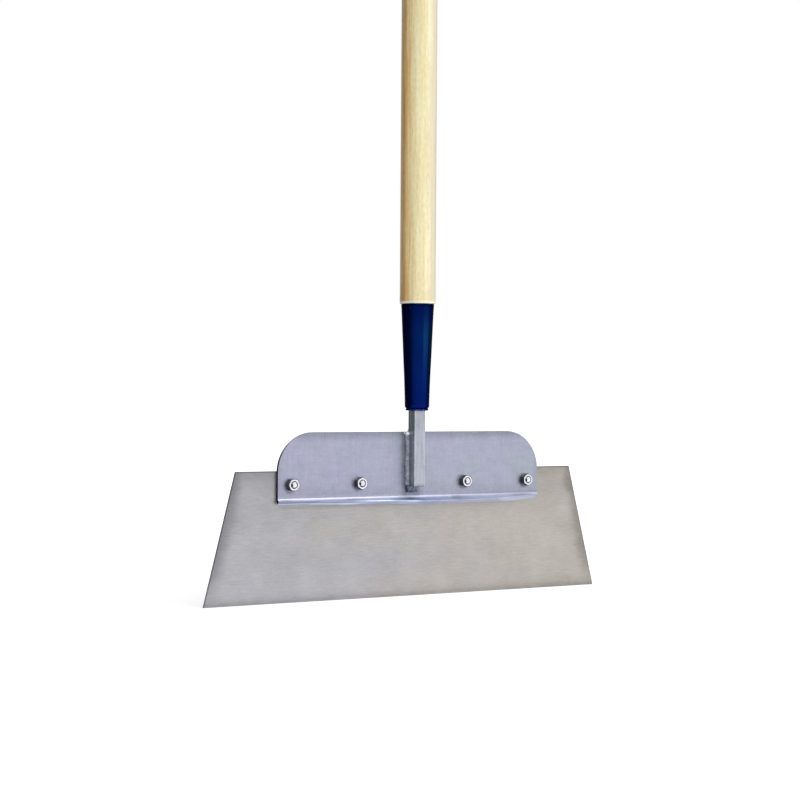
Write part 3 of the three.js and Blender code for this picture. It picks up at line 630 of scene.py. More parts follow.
def wood_material():
    m = Mat("pale_lacquered_wood")
    # growth rings about a pith outside the stick, wandering slowly along it
    wander = m.noise(m.scaled(26, 26, 2.6), 1.0, 2.0, 0.5)
    drift = m.noise(m.scaled(9, 9, 1.1, (5, 2, 7)), 1.0, 2.0, 0.5)
    px = m.add(m.sub(m.x, 0.036), m.mul(m.sub(drift, 0.5), 0.010))
    py = m.add(m.sub(m.y, AXIS_Y + 0.027), m.mul(m.sub(wander, 0.5), 0.012))
    r = m.math("SQRT", m.add(m.mul(px, px), m.mul(py, py)))
    r = m.add(r, m.mul(m.z, 0.0035))
    ring = m.math("FRACT", m.mul(r, 1 / 0.0027))
    late = m.ramp(ring, [(0.0, (0.0,) * 3), (0.55, (0.10,) * 3), (0.86, (0.85,) * 3), (0.93, (1.0,) * 3), (1.0, (0.0,) * 3)], "EASE")
    fibre = m.noise(m.scaled(560, 560, 12, (1, 4, 2)), 1.0, 4.0, 0.65)
    band = m.noise(m.scaled(170, 170, 3.0, (8, 3, 1)), 1.0, 3.0, 0.6)
    stain = m.noise(m.scaled(24, 24, 5.5, (2, 9, 4)), 1.0, 3.0, 0.6)
    pore = m.noise(m.scaled(2300, 2300, 75, (3, 3, 8)), 1.0, 2.0, 0.6)
    streak = m.noise(m.scaled(330, 330, 14, (6, 2, 3)), 1.0, 3.0, 0.65)
    dash = m.noise(m.scaled(480, 480, 210, (9, 5, 1)), 1.0, 3.0, 0.6)
    # heartwood runs up the left side, sapwood up the right; the orange left and pale right also stand in for the shade
    # and light across the stick
    across = m.add(m.mul(m.x, 0.90), m.mul(m.sub(m.y, AXIS_Y), -0.44))
    across = m.add(across, m.mul(m.sub(band, 0.5), 0.012))
    heart_and_shade = m.span(across, -0.0185, -0.0035, 1, 0, True)
    sap_and_light = m.span(across, 0.000, 0.016, 0, 1, True)
    col = m.mix(sap_and_light, (0.905, 0.822, 0.470), (0.715, 0.664, 0.480))
    col = m.mix(m.mul(heart_and_shade, 0.92), col, (0.990, 0.610, 0.205))
    col = m.mix(m.mul(late, m.span(stain, 0.3, 0.7, 0.06, 0.20)), col, (0.800, 0.540, 0.230))
    col = m.mix(m.mul(m.span(fibre, 0.44, 0.64, 0, 0.38, True), m.add(0.26, m.mul(heart_and_shade, 0.74))), col, (0.760, 0.470, 0.185))
    col = m.mix(m.mul(m.span(pore, 0.60, 0.74, 0, 0.36, True), m.add(0.4, m.mul(heart_and_shade, 0.6))), col, (0.58, 0.37, 0.16))
    col = m.mix(m.span(stain, 0.55, 0.82, 0, 0.22, True), col, (0.760, 0.560, 0.290))
    col = m.mix(m.mul(m.span(streak, 0.47, 0.62, 0, 0.62, True), m.add(0.16, m.mul(heart_and_shade, 0.84))), col, (0.860, 0.480, 0.130))
    col = m.mix(m.span(streak, 0.52, 0.36, 0, 0.55, True), col, (0.985, 0.905, 0.600))
    col = m.mix(1.0, col, m.grey(m.add(m.span(dash, 0.34, 0.66, 0.925, 1.06), m.span(fibre, 0.34, 0.66, 0.03, -0.03))), "MULTIPLY")
    # redder where the stick was turned down to meet the ferrule, then a painted highlight along the shoulder
    foot = m.span(m.add(m.sub(m.z, FER_HI.z), m.mul(m.sub(fibre, 0.5), 0.02)), 0.004, 0.035, 0.30, 0, True)
    col = m.mix(m.mul(foot, m.add(0.25, m.mul(heart_and_shade, 0.75))), col, (0.640, 0.340, 0.120))
    shoulder_highlight = m.span(m.sub(m.z, FER_HI.z), 0.0010, 0.0036, 1, 0, True)
    # painted sheen: the right side paled towards grey cream
    col = m.mix(m.span(across, 0.004, 0.017, 0, 0.65, True), col, (0.745, 0.668, 0.480))
    shade = m.span(m.vmath("DOT_PRODUCT", m.normal, (-0.985, 0.17, 0.0)), 0.86, 0.985, 1.0, 0.66, True)
    col = m.mix(1.0, col, m.grey(shade), "MULTIPLY")
    # painted highlight along the shoulder just above the ferrule
    col = m.mix(m.mul(shoulder_highlight, 0.95), col, (1.0, 0.98, 0.82))
    grip = m.mul(m.span(m.z, WOOD_HI.z - 0.45, WOOD_HI.z - 0.20, 0, 1, True), m.span(stain, 0.35, 0.7, 0.05, 0.22))
    col = m.mix(grip, col, (0.46, 0.33, 0.19))
    # end grain
    endz = m.span(m.sub(WOOD_HI.z, m.z), 0.0004, 0.006, 1, 0, True)
    col = m.mix(m.mul(endz, 0.45), col, (0.52, 0.37, 0.20))
    rough = m.add(m.span(fibre, 0.3, 0.7, 0.38, 0.52), m.mul(late, -0.05))
    h = m.add(m.add(m.mul(fibre, 0.5), m.mul(pore, -0.35)), m.mul(late, 0.35))
    n = m.bump(h, 0.00007, 0.55)
    n = m.bump(wander, 0.0006, 0.10, n)
    m.set(Base_Color=col, Roughness=rough, Normal=n, Specular_IOR_Level=0.45,
          Coat_Weight=0.25, Coat_Roughness=0.22)
    return m.m


M_BLADE = blade_material()
M_PLATE = plate_material()
M_BAR = bar_material()
M_WELD = weld_material()
M_ZINC = zinc_material()
M_PAINT = paint_material()
M_WOOD = wood_material()


# ---------------------------------------------------------------- blade
def build_blade():
    """A sheared trapezoid slab; its four bolt holes and rolled-over edges are put in after it is built."""
    rows_z = np.concatenate([np.linspace(0, BLADE_H, 40)])
    cols = 120
    front, back = [], []
    for z in rows_z:
        w = BLADE_HALF + (BLADE_TOP_HALF - BLADE_HALF) * z / BLADE_H
        xs = np.linspace(-w, w, cols + 1)
        front.append([(x, BLADE_LO.y, BLADE_LO.z + z) for x in xs])
        back.append([(x, BLADE_HI.y, BLADE_LO.z + z) for x in xs])
    return slab(front, back)


def slab(front, back):
    """A closed body from two matching grids of points."""
    nr, nc = len(front), len(front[0])
    verts = [p for row in front for p in row] + [p for row in back for p in row]
    f = lambda r, c: r * nc + c
    b = lambda r, c: nr * nc + r * nc + c
    faces = []
    for r in range(nr - 1):
        for c in range(nc - 1):
            faces.append((f(r, c), f(r, c + 1), f(r + 1, c + 1), f(r + 1, c)))
            faces.append((b(r, c), b(r + 1, c), b(r + 1, c + 1), b(r, c + 1)))
    for c in range(nc - 1):
        faces.append((f(0, c), b(0, c), b(0, c + 1), f(0, c + 1)))
        faces.append((f(nr - 1, c), f(nr - 1, c + 1), b(nr - 1, c + 1), b(nr - 1, c)))
    for r in range(nr - 1):
        faces.append((f(r, 0), f(r + 1, 0), b(r + 1, 0), b(r, 0)))
        faces.append((f(r, nc - 1), b(r, nc - 1), b(r + 1, nc - 1), f(r + 1, nc - 1)))
    return verts, faces


HOLE_R = 3.57 * MM

verts, faces = build_blade()
blade = new_piece("scraper_blade", verts, faces, M_BLADE, nodes=("blade",), sharp=None)
cut(blade, [rod_cutter(*bolt_place(n), HOLE_R, BLADE_LO.y - 0.002, BLADE_HI.y + 0.002) for n in BOLTS])
round_edges(blade, 0.00022, 3)


# ---------------------------------------------------------------- bracket plate
def build_plate():
    b = LIP_BEND
    cy, cz = PLATE_FRONT - LIP_R, LIP_START
    ro = LIP_R + PLATE_T
    rows = []                                    # (front y, front z, back y, back z, half width)
    for k in range(37):                          # over the two rounded corners
        a = math.radians(90) * k / 36
        t = PLATE_R * (1 - math.cos(a))
        half = PLATE_HALF - PLATE_R + PLATE_R * math.sin(a)
        rows.append((PLATE_FRONT, PLATE_HI.z - t, PLATE_BACK, PLATE_HI.z - t, half))
    z_from = PLATE_HI.z - PLATE_R
    for k in range(1, 11):
        z = z_from + (cz + 0.0008 - z_from) * k / 10
        rows.append((PLATE_FRONT, z, PLATE_BACK, z, PLATE_HALF))
    dy, dz = -math.sin(b), -math.cos(b)
    tip_y = cy + LIP_R * math.cos(b) + dy * LIP_LEN

    def halves(y):                               # the lip narrows towards its ends, seen from above
        back = (y - tip_y) / MM
        left = np.interp(back, [q for _, q in LIP_BACK_LEFT[::-1]], [d for d, _ in LIP_BACK_LEFT[::-1]])
        right = np.interp(back, [q for _, q in LIP_BACK_RIGHT[::-1]], [d for d, _ in LIP_BACK_RIGHT[::-1]])
        return PLATE_HALF - left * MM, PLATE_HALF - right * MM

    steps = 22
    for k in range(steps + 1):                   # round the bend
        t = b * k / steps
        rows.append((cy + LIP_R * math.cos(t), cz - LIP_R * math.sin(t), cy + ro * math.cos(t), cz - ro * math.sin(t), PLATE_HALF))
    fy, fz, by, bz = rows[-1][:4]
    for k in range(1, 31):                       # out along the lip
        q = LIP_LEN * k / 30
        rows.append((fy + dy * q, fz + dz * q, by + dy * q, bz + dz * q, None))
    cols = 96
    u = np.linspace(0, 1, cols + 1)
    front, back = [], []
    for fy, fz, by, bz, half in rows:
        for grid, y, z in ((front, fy, fz), (back, by, bz)):
            l, r = (half, half) if half else halves(y)
            grid.append([(-l + (l + r) * k, y, z) for k in u])
    return slab(front, back)


verts, faces = build_plate()
plate = new_piece("bent_bracket_plate", verts, faces, M_PLATE, nodes=("bracket_plate",), sharp=None)
cut(plate, [rod_cutter(*bolt_place(n), HOLE_R, PLATE_FRONT - 0.002, PLATE_BACK + 0.002) for n in BOLTS])
round_edges(plate, 0.00045, 3)


# ---------------------------------------------------------------- shank bar
def square_ring(half, r, z, cy, per=8, flat=6):
    pts = []
    for q in range(4):
        a0 = -math.pi / 2 + q * math.pi / 2
        cx = (half - r) * (1 if q in (0, 1) else -1)
        cyy = (half - r) * (1 if q in (1, 2) else -1)
        for k in range(per + 1):
            a = a0 + (math.pi / 2) * k / per
            pts.append((cx + r * math.cos(a), cy + cyy + r * math.sin(a), z))
        # points along the next flat
        last = pts[-1]
        a1 = a0 + math.pi / 2
        nq = (q + 1) % 4
        ncx = (half - r) * (1 if nq in (0, 1) else -1)
        ncy = (half - r) * (1 if nq in (1, 2) else -1)
        nxt = (ncx + r * math.cos(a1), cy + ncy + r * math.sin(a1), z)
        for k in range(1, flat):
            s = k / flat
            pts.append((last[0] + (nxt[0] - last[0]) * s, last[1] + (nxt[1] - last[1]) * s, z))
    return pts


def build_bar():
    hw = BAR / 2
    r = 0.7 * MM
    z0 = BAR_LO.z
    rings = [[(0, AXIS_Y, z0)]]
    for f in (0.5, 0.9):
        rings.append(square_ring((hw - 0.0006) * f, r * f, z0, AXIS_Y))
    for k in range(5):                           # saw-cut lower end with its burr taken off
        a = math.radians(90) * k / 4
        rings.append(square_ring(hw - 0.0005 * (1 - math.sin(a)), r, z0 + 0.0005 * (1 - math.cos(a)), AXIS_Y))
    z_shoulder = FER_LO.z + 0.0057
    for z in np.linspace(z0 + 0.004, z_shoulder, 26):
        rings.append(square_ring(hw, r, z, AXIS_Y))
    w0, w1 = (BAR - 2.2 * MM) / 2, 2.5 * MM
    for k, z in enumerate(np.linspace(z_shoulder + 0.0016, BAR_HI.z - 0.001, 12)):
        s = k / 11
        rings.append(square_ring(w0 + (w1 - w0) * s, 0.6 * MM, z, AXIS_Y))
    rings.append(square_ring(w1 - 0.0008, 0.6 * MM, BAR_HI.z, AXIS_Y))
    rings.append([(0, AXIS_Y, BAR_HI.z)])
    out = []
    for ring in rings:                           # a drawn bar is never quite flat
        o = []
        for x, y, z in ring:
            n = noise.noise(Vector((x * 160, y * 160, z * 14)))
            o.append((x + 0.00003 * n * np.sign(x), y + 0.00003 * n * np.sign(y - AXIS_Y), z))
        out.append(o)
    return skin(out)


verts, faces = build_bar()
bar = new_piece("square_shank_bar", verts, faces, M_BAR, nodes=("shank_bar",), sharp=48)


# ---------------------------------------------------------------- weld beads
def build_bead(path, legs, seed, pitch=0.0019, ripple=0.13, rough=0.16, belly=1.45, end=0.0022):
    """A rippled fillet bead. path gives the corner line as points with the two leg directions;
    legs gives the two leg lengths at each point."""
    n = len(path)
    rings = []
    length = [0.0]
    for a, b in zip(path, path[1:]):
        length.append(length[-1] + (Vector(b[0]) - Vector(a[0])).length)
    total = length[-1]
    arc = 14
    for i, (c, d1, d2) in enumerate(path):
        c, d1, d2 = Vector(c), Vector(d1), Vector(d2)
        s = length[i]
        e = min(s, total - s)
        close = math.sqrt(max(0.0, 1 - max(0.0, 1 - e / end) ** 2)) if e < end else 1.0
        close = 0.18 + 0.82 * close
        wob = 1 + rough * noise.noise(Vector((s * 260, seed * 3.7, 0.3))) + 0.5 * rough * noise.noise(Vector((s * 900, seed, 4.2)))
        l1, l2 = legs[0] * close * wob, legs[1] * close * (2 - wob)
        ring = [tuple(c - d1 * 0.0004 - d2 * 0.0004), tuple(c + d1 * l1 * 0.5 - d2 * 0.0004)]
        for k in range(arc + 1):
            a = (math.pi / 2) * k / arc
            lag = 0.55 * math.sin(2 * a)
            ph = s / pitch - lag + 0.35 * noise.noise(Vector((s * 420, seed * 1.9, a)))
            wave = abs(math.sin(math.pi * ph)) ** 0.55
            lump = noise.noise(Vector((s * 1100, a * 1.6, seed)))
            k2 = 1 + (ripple * (wave - 0.6) + 0.10 * lump) * math.sin(2 * a)
            u = math.cos(a) ** (2 / belly) * l1 * k2
            v = math.sin(a) ** (2 / belly) * l2 * k2
            ring.append(tuple(c + d1 * u + d2 * v))
        ring.append(tuple(c + d2 * l2 * 0.5 - d1 * 0.0004))
        rings.append(ring)
    c0 = np.mean(np.array(rings[0]), axis=0)
    c1 = np.mean(np.array(rings[-1]), axis=0)
    return skin([[tuple(c0)]] + rings + [[tuple(c1)]])


def bead_line(p0, p1, d1, d2, n):
    p0, p1 = Vector(p0), Vector(p1)
    return [(tuple(p0 + (p1 - p0) * (i / (n - 1))), d1, d2) for i in range(n)]


H = BAR / 2
z_lo, z_hi = BAR_LO.z - 0.0010, PLATE_HI.z + 0.0002
side_legs = (3.3 * MM, 2.7 * MM)
v, f = build_bead(bead_line((-H, PLATE_FRONT, z_lo), (-H, PLATE_FRONT, z_hi), (-1, 0, 0), (0, -1, 0), 260), side_legs, 1)
new_piece("left_side_weld", v, f, M_WELD, nodes=("weld_left_side",), sharp=60)
v, f = build_bead(bead_line((H, PLATE_FRONT, z_lo), (H, PLATE_FRONT, z_hi), (1, 0, 0), (0, -1, 0), 260), side_legs, 2)
new_piece("right_side_weld", v, f, M_WELD, nodes=("weld_right_side",), sharp=60)
v, f = build_bead(bead_line((TOE_LO.x + 0.0001, PLATE_FRONT, BAR_LO.z), (TOE_HI.x - 0.0001, PLATE_FRONT, BAR_LO.z), (0, 0, -1), (0, -1, 0), 110),
                  (6.2 * MM, 4.7 * MM), 3, pitch=0.0026, ripple=0.16, rough=0.26, end=0.0034)
new_piece("lower_end_weld", v, f, M_WELD, nodes=("weld_bottom_end",), sharp=60)
v, f = build_bead(bead_line((-H - 0.0006, PLATE_FRONT, PLATE_HI.z), (H + 0.0006, PLATE_FRONT, PLATE_HI.z), (0, 1, 0), (0, 0, 1), 90),
                  (2.6 * MM, 2.9 * MM), 4, pitch=0.0022)
new_piece("upper_edge_weld", v, f, M_WELD, nodes=("weld_top_edge",), sharp=60)


# ---------------------------------------------------------------- hex bolts and nuts
AF = 11.11 * MM
PITCH = 25.4 / 20 * MM


def hex_r(theta, clock, p=46.0):
    """Distance to a hexagon's side at an angle, with its corners very slightly rounded."""
    total = 0.0
    for k in range(6):
        c = math.cos(theta - clock - math.pi / 6 - k * math.pi / 3)
        if c > 0:
            total += c ** p
    return (AF / 2) * total ** (-1 / p)


def place(r, theta, y, x, z):
    return (x + r * math.cos(theta), y, z + r * math.sin(theta))


def chamfered(clock, face_y, inward, rf):
    """Rings from the flat face out over the turned chamfer to the hexagon's side. inward points into the piece."""
    def ring(frac):
        def f(theta):
            R = hex_r(theta, clock)
            r = rf + (R - rf) * frac
            return r, face_y + inward * (r - rf) * math.tan(math.radians(30))
        return f
    return ring


def thread_r(y, theta, y_end, crest=3.15 * MM, depth=0.72 * MM):
    """Right-hand thread: radius at a place on the shank, whose free end is at y_end and points to -Y."""
    ph = (y - y_end) / PITCH + theta / (2 * math.pi)
    t = abs((ph % 1.0) * 2 - 1)                  # 0 in the root, 1 on the crest
    t = min(1.0, max(0.0, (t - 0.08) / 0.80))
    r = crest - depth * (1 - t)
    return min(r, 2.35 * MM + (y - y_end) * 1.0)


def build_bolt(name):
    x, z = bolt_place(name)
    lo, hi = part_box(f"bolt_{name}")
    y_end, y_top = lo.y, hi.y
    y_under = BLADE_HI.y
    clock = hex_clock(f"bolt_{name}", y_under + 0.001, y_top, x, z)
    segs = 96
    th = np.linspace(0, 2 * math.pi, segs, endpoint=False)
    rings = [[(x, y_end, z)]]
    for r in (0.9 * MM, 1.7 * MM, 2.15 * MM):
        rings.append([place(r, t, y_end + (0.00002 if r > 2 * MM else 0), x, z) for t in th])
    y_run = y_under - 0.0012
    for y in np.arange(y_end + 0.00006, y_run, 0.00011):
        rings.append([place(thread_r(y, t, y_end), t, y, x, z) for t in th])
    for y in (y_run + 0.0001, y_under):
        rings.append([place(3.15 * MM, t, y, x, z) for t in th])
    rf_u = AF / 2 - 0.25 * MM
    rings.append([place(rf_u, t, y_under, x, z) for t in th])
    rings.append([place(hex_r(t, clock), t, y_under + 0.00012, x, z) for t in th])
    rf = AF / 2 - 0.35 * MM
    ring = chamfered(clock, y_top, -1, rf)
    for frac in (1.0, 0.66, 0.33, 0.06):
        rings.append([place(*((lambda q: (q[0], t, q[1]))(ring(frac)(t))), x, z) for t in th])
    for r in (rf - 0.08 * MM, 3.6 * MM, 1.8 * MM):
        rings.append([place(r, t, y_top, x, z) for t in th])
    rings.append([(x, y_top, z)])
    return skin(rings)


def build_nut(name):
    """A hex nut whose faces are hexagons with their corners turned off."""
    x, z = bolt_place(name)
    lo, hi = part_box(f"nut_{name}")
    clock = hex_clock(f"nut_{name}", lo.y - 0.001, hi.y + 0.001, x, z)
    segs = 144
    th = np.linspace(0, 2 * math.pi, segs, endpoint=False)
    bore, sink, rf = 3.25 * MM, 3.85 * MM, AF / 2 - 0.35 * MM
    rings = []

    def circle(r, y):
        rings.append([place(r, t, y, x, z) for t in th])

    circle(bore, (lo.y + hi.y) / 2)
    circle(bore, lo.y + (sink - bore) + 0.00005)
    circle(bore + 0.00004, lo.y + (sink - bore))
    circle(sink - 0.00003, lo.y + 0.00004)
    circle(sink + 0.00005, lo.y)
    circle((sink + rf) / 2, lo.y)
    circle(rf - 0.08 * MM, lo.y)
    trim = AF / 2 - 0.10 * MM
    face = [min(trim, hex_r(t, clock) - 0.42 * MM) for t in th]
    for share in (0.0, 0.12, 1.0):
        rings.append([place(e + (hex_r(t, clock) - e) * share, t,
                            lo.y + (hex_r(t, clock) - e) * share * math.tan(math.radians(38)), x, z)
                      for t, e in zip(th, face)])
    rings.append([place(hex_r(t, clock), t, lo.y + (hex_r(t, clock) - e) * math.tan(math.radians(38)) + 0.00009, x, z)
                  for t, e in zip(th, face)])
    back = chamfered(clock, hi.y, -1, rf)
    rings.append([place(hex_r(t, clock), t, (lo.y + hi.y) / 2, x, z) for t in th])
    rings.append([place(back(1.0)(t)[0], t, back(1.0)(t)[1] - 0.00009, x, z) for t in th])
    for frac in (0.97, 0.66, 0.33, 0.06):
        rings.append([place(back(frac)(t)[0], t, back(frac)(t)[1], x, z) for t in th])
    circle(rf - 0.08 * MM, hi.y)
    circle(sink + 0.00005, hi.y)
    circle(bore, hi.y - (sink - bore))
    return skin(rings, loop=True)


for n in BOLTS:
    v, f = build_bolt(n)
    new_piece(f"hex_bolt_{n}", v, f, M_ZINC, nodes=(f"bolt_{n}",), sharp=42)
    v, f = build_nut(n)
    new_piece(f"hex_nut_{n}", v, f, M_ZINC, body=f"loose_nut_{n}", nodes=(f"nut_{n}",), sharp=26)


# ---------------------------------------------------------------- ferrule, pin, handle
fer_co = corners("ferrule") - np.array([0, AXIS_Y, 0])
fer_r = np.hypot(fer_co[:, 0], fer_co[:, 1])


def outer_profile():
    """The ferrule's outer radius at each height where the CAD solid has a ring."""
    zs = sorted(set(np.round(fer_co[:, 2], 5)))
    out = []
    for z in zs:
        sel = np.abs(fer_co[:, 2] - z) < 2e-5
        r = fer_r[sel].max()
        if out and r < out[-1][1] - 0.0011 and z < FER_HI.z - 0.002:
            continue                             # an inner ring or the pin's hole
        out.append((z, r))
    return out


PROFILE = [(z, r) for z, r in outer_profile()]
_z = np.array([p[0] for p in PROFILE])
_r = np.array([p[1] for p in PROFILE])


def build_ferrule():
    segs = 128
    th = np.linspace(0, 2 * math.pi, segs, endpoint=False)
    zs = np.concatenate([
        [FER_LO.z, FER_LO.z + 0.00015, FER_LO.z + 0.0004, FER_LO.z + 0.0008, FER_LO.z + 0.0014, FER_LO.z + 0.0022, FER_LO.z + 0.0035],
        np.linspace(FER_LO.z + 0.006, FER_HI.z - 0.006, 60),
        [FER_HI.z - 0.0045, FER_HI.z - 0.003, FER_HI.z - 0.0018, FER_HI.z - 0.0010, FER_HI.z - 0.0005, FER_HI.z - 0.00015, FER_HI.z]])
    mouth = 9.3 * MM
    rings = []
    base = np.interp(zs, _z, _r)
    smooth = base.copy()
    mid = (zs > FER_LO.z + 0.004) & (zs < FER_HI.z - 0.004)
    for _ in range(6):                           # the sleeve is drawn in one smooth taper
        s2 = smooth.copy()
        s2[1:-1] = (smooth[:-2] + 2 * smooth[1:-1] + smooth[2:]) / 4
        smooth = np.where(mid, s2, smooth)
    for z, r in zip(zs, smooth):
        ring = []
        for t in th:
            wob = 0.00005 * noise.noise(Vector((math.cos(t) * 1.3, math.sin(t) * 1.3, z * 30)))
            ring.append(((r + wob) * math.cos(t), AXIS_Y + (r + wob) * math.sin(t), z))
        rings.append(ring)

    def circle(r, z):
        rings.append([(r * math.cos(t), AXIS_Y + r * math.sin(t), z) for t in th])

    top_in = _r[-1] - 0.0013
    circle(top_in + 0.0002, FER_HI.z)
    circle(top_in, FER_HI.z - 0.0003)
    for z in np.linspace(FER_HI.z - 0.008, FER_LO.z + 0.0026, 12):
        circle(np.interp(z, _z, _r) - 0.0014, z)
    circle(mouth, FER_LO.z + 0.0022)
    circle(mouth, FER_LO.z + 0.0006)
    circle(mouth + 0.0002, FER_LO.z + 0.00012)
    circle(mouth + 0.0005, FER_LO.z)
    return skin(rings, loop=True)


v, f = build_ferrule()
new_piece("tapered_ferrule", v, f, M_PAINT, nodes=("ferrule",), sharp=50)


def build_pin():
    lo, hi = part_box("ferrule_pin")
    co = corners("ferrule_pin")
    centre = Vector((0, AXIS_Y, (lo.z + hi.z) / 2))
    far = co[np.argmax(np.hypot(co[:, 0], co[:, 1] - AXIS_Y))]
    out = Vector((far[0], far[1] - AXIS_Y, 0))
    reach = out.length
    out.normalize()
    side = out.cross(Vector((0, 0, 1)))
    up = Vector((0, 0, 1))
    head_r, head_h, shank = 1.7 * MM, 0.75 * MM, 1.0 * MM
    seat = reach - head_h
    prof = [(0.35 * MM, seat - 0.0088), (shank, seat - 0.0068), (shank, seat - 0.0001), (head_r - 0.0001, seat)]
    for k in range(0, 10):
        a = (math.pi / 2) * k / 10
        prof.append((head_r * math.cos(a), seat + 0.00006 + (head_h - 0.00006) * math.sin(a)))
    th = np.linspace(0, 2 * math.pi, 40, endpoint=False)
    rings = [[tuple(centre + out * (seat - 0.009))]]
    for r, d in prof:
        rings.append([tuple(centre + out * d + side * (r * math.cos(t)) + up * (r * math.sin(t))) for t in th])
    rings.append([tuple(centre + out * reach)])
    return skin(rings)


v, f = build_pin()
new_piece("ferrule_nail", v, f, M_PAINT, nodes=("ferrule_pin",), sharp=50)


def build_handle():
    segs = 112
    th = np.linspace(0, 2 * math.pi, segs, endpoint=False)
    R = (WOOD_HI.x - WOOD_LO.x) / 2
    z0, z1 = WOOD_LO.z, WOOD_HI.z
    inner = lambda z: float(np.interp(z, _z, _r)) - 0.0016
    prof = [(z0, inner(z0 + 0.001) - 0.0004), (z0 + 0.001, inner(z0 + 0.001))]
    for z in np.linspace(z0 + 0.01, FER_HI.z - 0.006, 14):
        prof.append((z, inner(z)))
    neck = inner(FER_HI.z - 0.001)
    prof += [(FER_HI.z - 0.0004, neck), (FER_HI.z + 0.0003, neck), (FER_HI.z + 0.0003, neck + 0.0006)]
    sh, sr = FER_HI.z + 0.0003, 0.0010
    for k in range(0, 9):
        a = (math.pi / 2) * k / 8
        prof.append((sh + sr * (1 - math.cos(a)), R - sr + sr * math.sin(a)))
    for z in np.linspace(sh + 0.004, z1 - 0.0075, 92):
        prof.append((z, R))
    er = 0.006
    for k in range(0, 13):
        a = (math.pi / 2) * k / 12
        prof.append((z1 - er + er * math.sin(a), R - er + er * math.cos(a)))
    rings = [[(0, AXIS_Y, z0)]]
    for z, r in prof:
        ring = []
        free = min(1.0, max(0.0, (z - sh - 0.001) / 0.01))
        for t in th:
            w = 0.00007 * noise.noise(Vector((math.cos(t) * 0.9, math.sin(t) * 0.9, z * 5.0))) * free
            ring.append(((r + w - 0.00005 * free) * math.cos(t), AXIS_Y + (r + w - 0.00005 * free) * math.sin(t), z))
        rings.append(ring)
    for r in ((R - er) * 0.66, (R - er) * 0.33):
        rings.append([(r * math.cos(t), AXIS_Y + r * math.sin(t), z1) for t in th])
    rings.append([(0, AXIS_Y, z1)])
    return skin(rings)


v, f = build_handle()
handle = new_piece("round_wood_handle", v, f, M_WOOD, nodes=("wood_handle",), sharp=50)
tang = [[(0, AXIS_Y, WOOD_LO.z - 0.002)]]
for z, half in ((WOOD_LO.z - 0.002, BAR / 2 + 0.0003), (FER_LO.z + 0.0065, BAR / 2 + 0.0003),
                (FER_LO.z + 0.0066, BAR / 2 - 0.0008), (BAR_HI.z + 0.0006, 0.0028)):
    tang.append([(half * sx, AXIS_Y + half * sy, z) for sx, sy in ((-1, -1), (1, -1), (1, 1), (-1, 1))])
tang.append([(0, AXIS_Y, BAR_HI.z + 0.0006)])
cut(handle, [cutter(*skin(tang))])
handle.data.set_sharp_from_angle(angle=math.radians(50))


# ---------------------------------------------------------------- floor, light, camera
def build_floor():
    segs = 96
    rings = [[(0, 0, -0.00005)]]
    for r in (0.4, 0.8, 1.5, 3, 6, 12, 30):
        rings.append([(r * math.cos(t), r * math.sin(t), -0.00005) for t in np.linspace(0, 2 * math.pi, segs, endpoint=False)])
    verts, faces = skin(rings)
    me = bpy.data.meshes.new("studio_floor")
    me.from_pydata(verts, [], faces)
    finish_mesh(me, None)
    if me.polygons[0].normal.z < 0:
        me.flip_normals()
    m = Mat("pale_floor")
    far = m.span(m.vmath("LENGTH", m.obj), 0.9, 3.2, 0, 1, True)
    grain = m.noise(m.scaled(60, 60, 60), 1.0, 3.0, 0.6)
    glow = m.t.nodes.new("ShaderNodeEmission")
    glow.inputs[0].default_value = (1, 1, 1, 1)
    glow.inputs[1].default_value = 1.0
    lp = m.t.nodes.new("ShaderNodeLightPath")
    seen = lp.outputs["Is Camera Ray"]
    pale = m.mix(m.span(grain, 0.3, 0.7), (0.86, 0.86, 0.86), (0.88, 0.88, 0.88))
    # the object sees a dull floor behind it, past the edge of the pale sheet it stands on
    near = m.add(0.06, m.mul(m.vmath("DOT_PRODUCT", m.obj, m.obj), 0.25))
    ahead = m.math("DIVIDE", m.sub(0.02, m.y), near)
    sheet = m.mix(m.span(ahead, 0.0, 1.0, 0, 1, True), (0.04, 0.04, 0.05), (0.87, 0.87, 0.88))
    geo = m.t.nodes.new("ShaderNodeNewGeometry")
    came = m.t.nodes.new("ShaderNodeSeparateXYZ")
    m.t.links.new(geo.outputs["Incoming"], came.inputs[0])
    flat = m.math("SQRT", m.add(m.add(m.mul(came.outputs[0], came.outputs[0]), m.mul(came.outputs[1], came.outputs[1])), 0.0001))
    straight = m.math("DIVIDE", m.mul(came.outputs[1], -1.0), flat)
    sheet = m.mix(m.span(straight, 0.92, 0.975, 0, 1, True), sheet, (0.78, 0.78, 0.79))
    m.set(Base_Color=m.mix(seen, sheet, pale), Roughness=0.85, Specular_IOR_Level=0.1)
    # the floor brightens into the backdrop with distance, and glows a little to the camera near the object
    mixer = m.t.nodes.new("ShaderNodeMixShader")
    m.put(mixer.inputs[0], m.mul(seen, far))
    m.t.links.new(m.p.outputs[0], mixer.inputs[1])
    m.t.links.new(glow.outputs[0], mixer.inputs[2])
    lift = m.t.nodes.new("ShaderNodeEmission")
    lift.inputs[0].default_value = (1, 1, 1, 1)
    m.put(lift.inputs[1], m.mul(seen, 0.32))
    both = m.t.nodes.new("ShaderNodeAddShader")
    m.t.links.new(mixer.outputs[0], both.inputs[0])
    m.t.links.new(lift.outputs[0], both.inputs[1])
    m.t.links.new(both.outputs[0], m.out.inputs[0])
    me.materials.append(m.m)
    o = bpy.data.objects.new("studio_floor", me)
    bpy.context.scene.collection.objects.link(o)
    return o


build_floor()

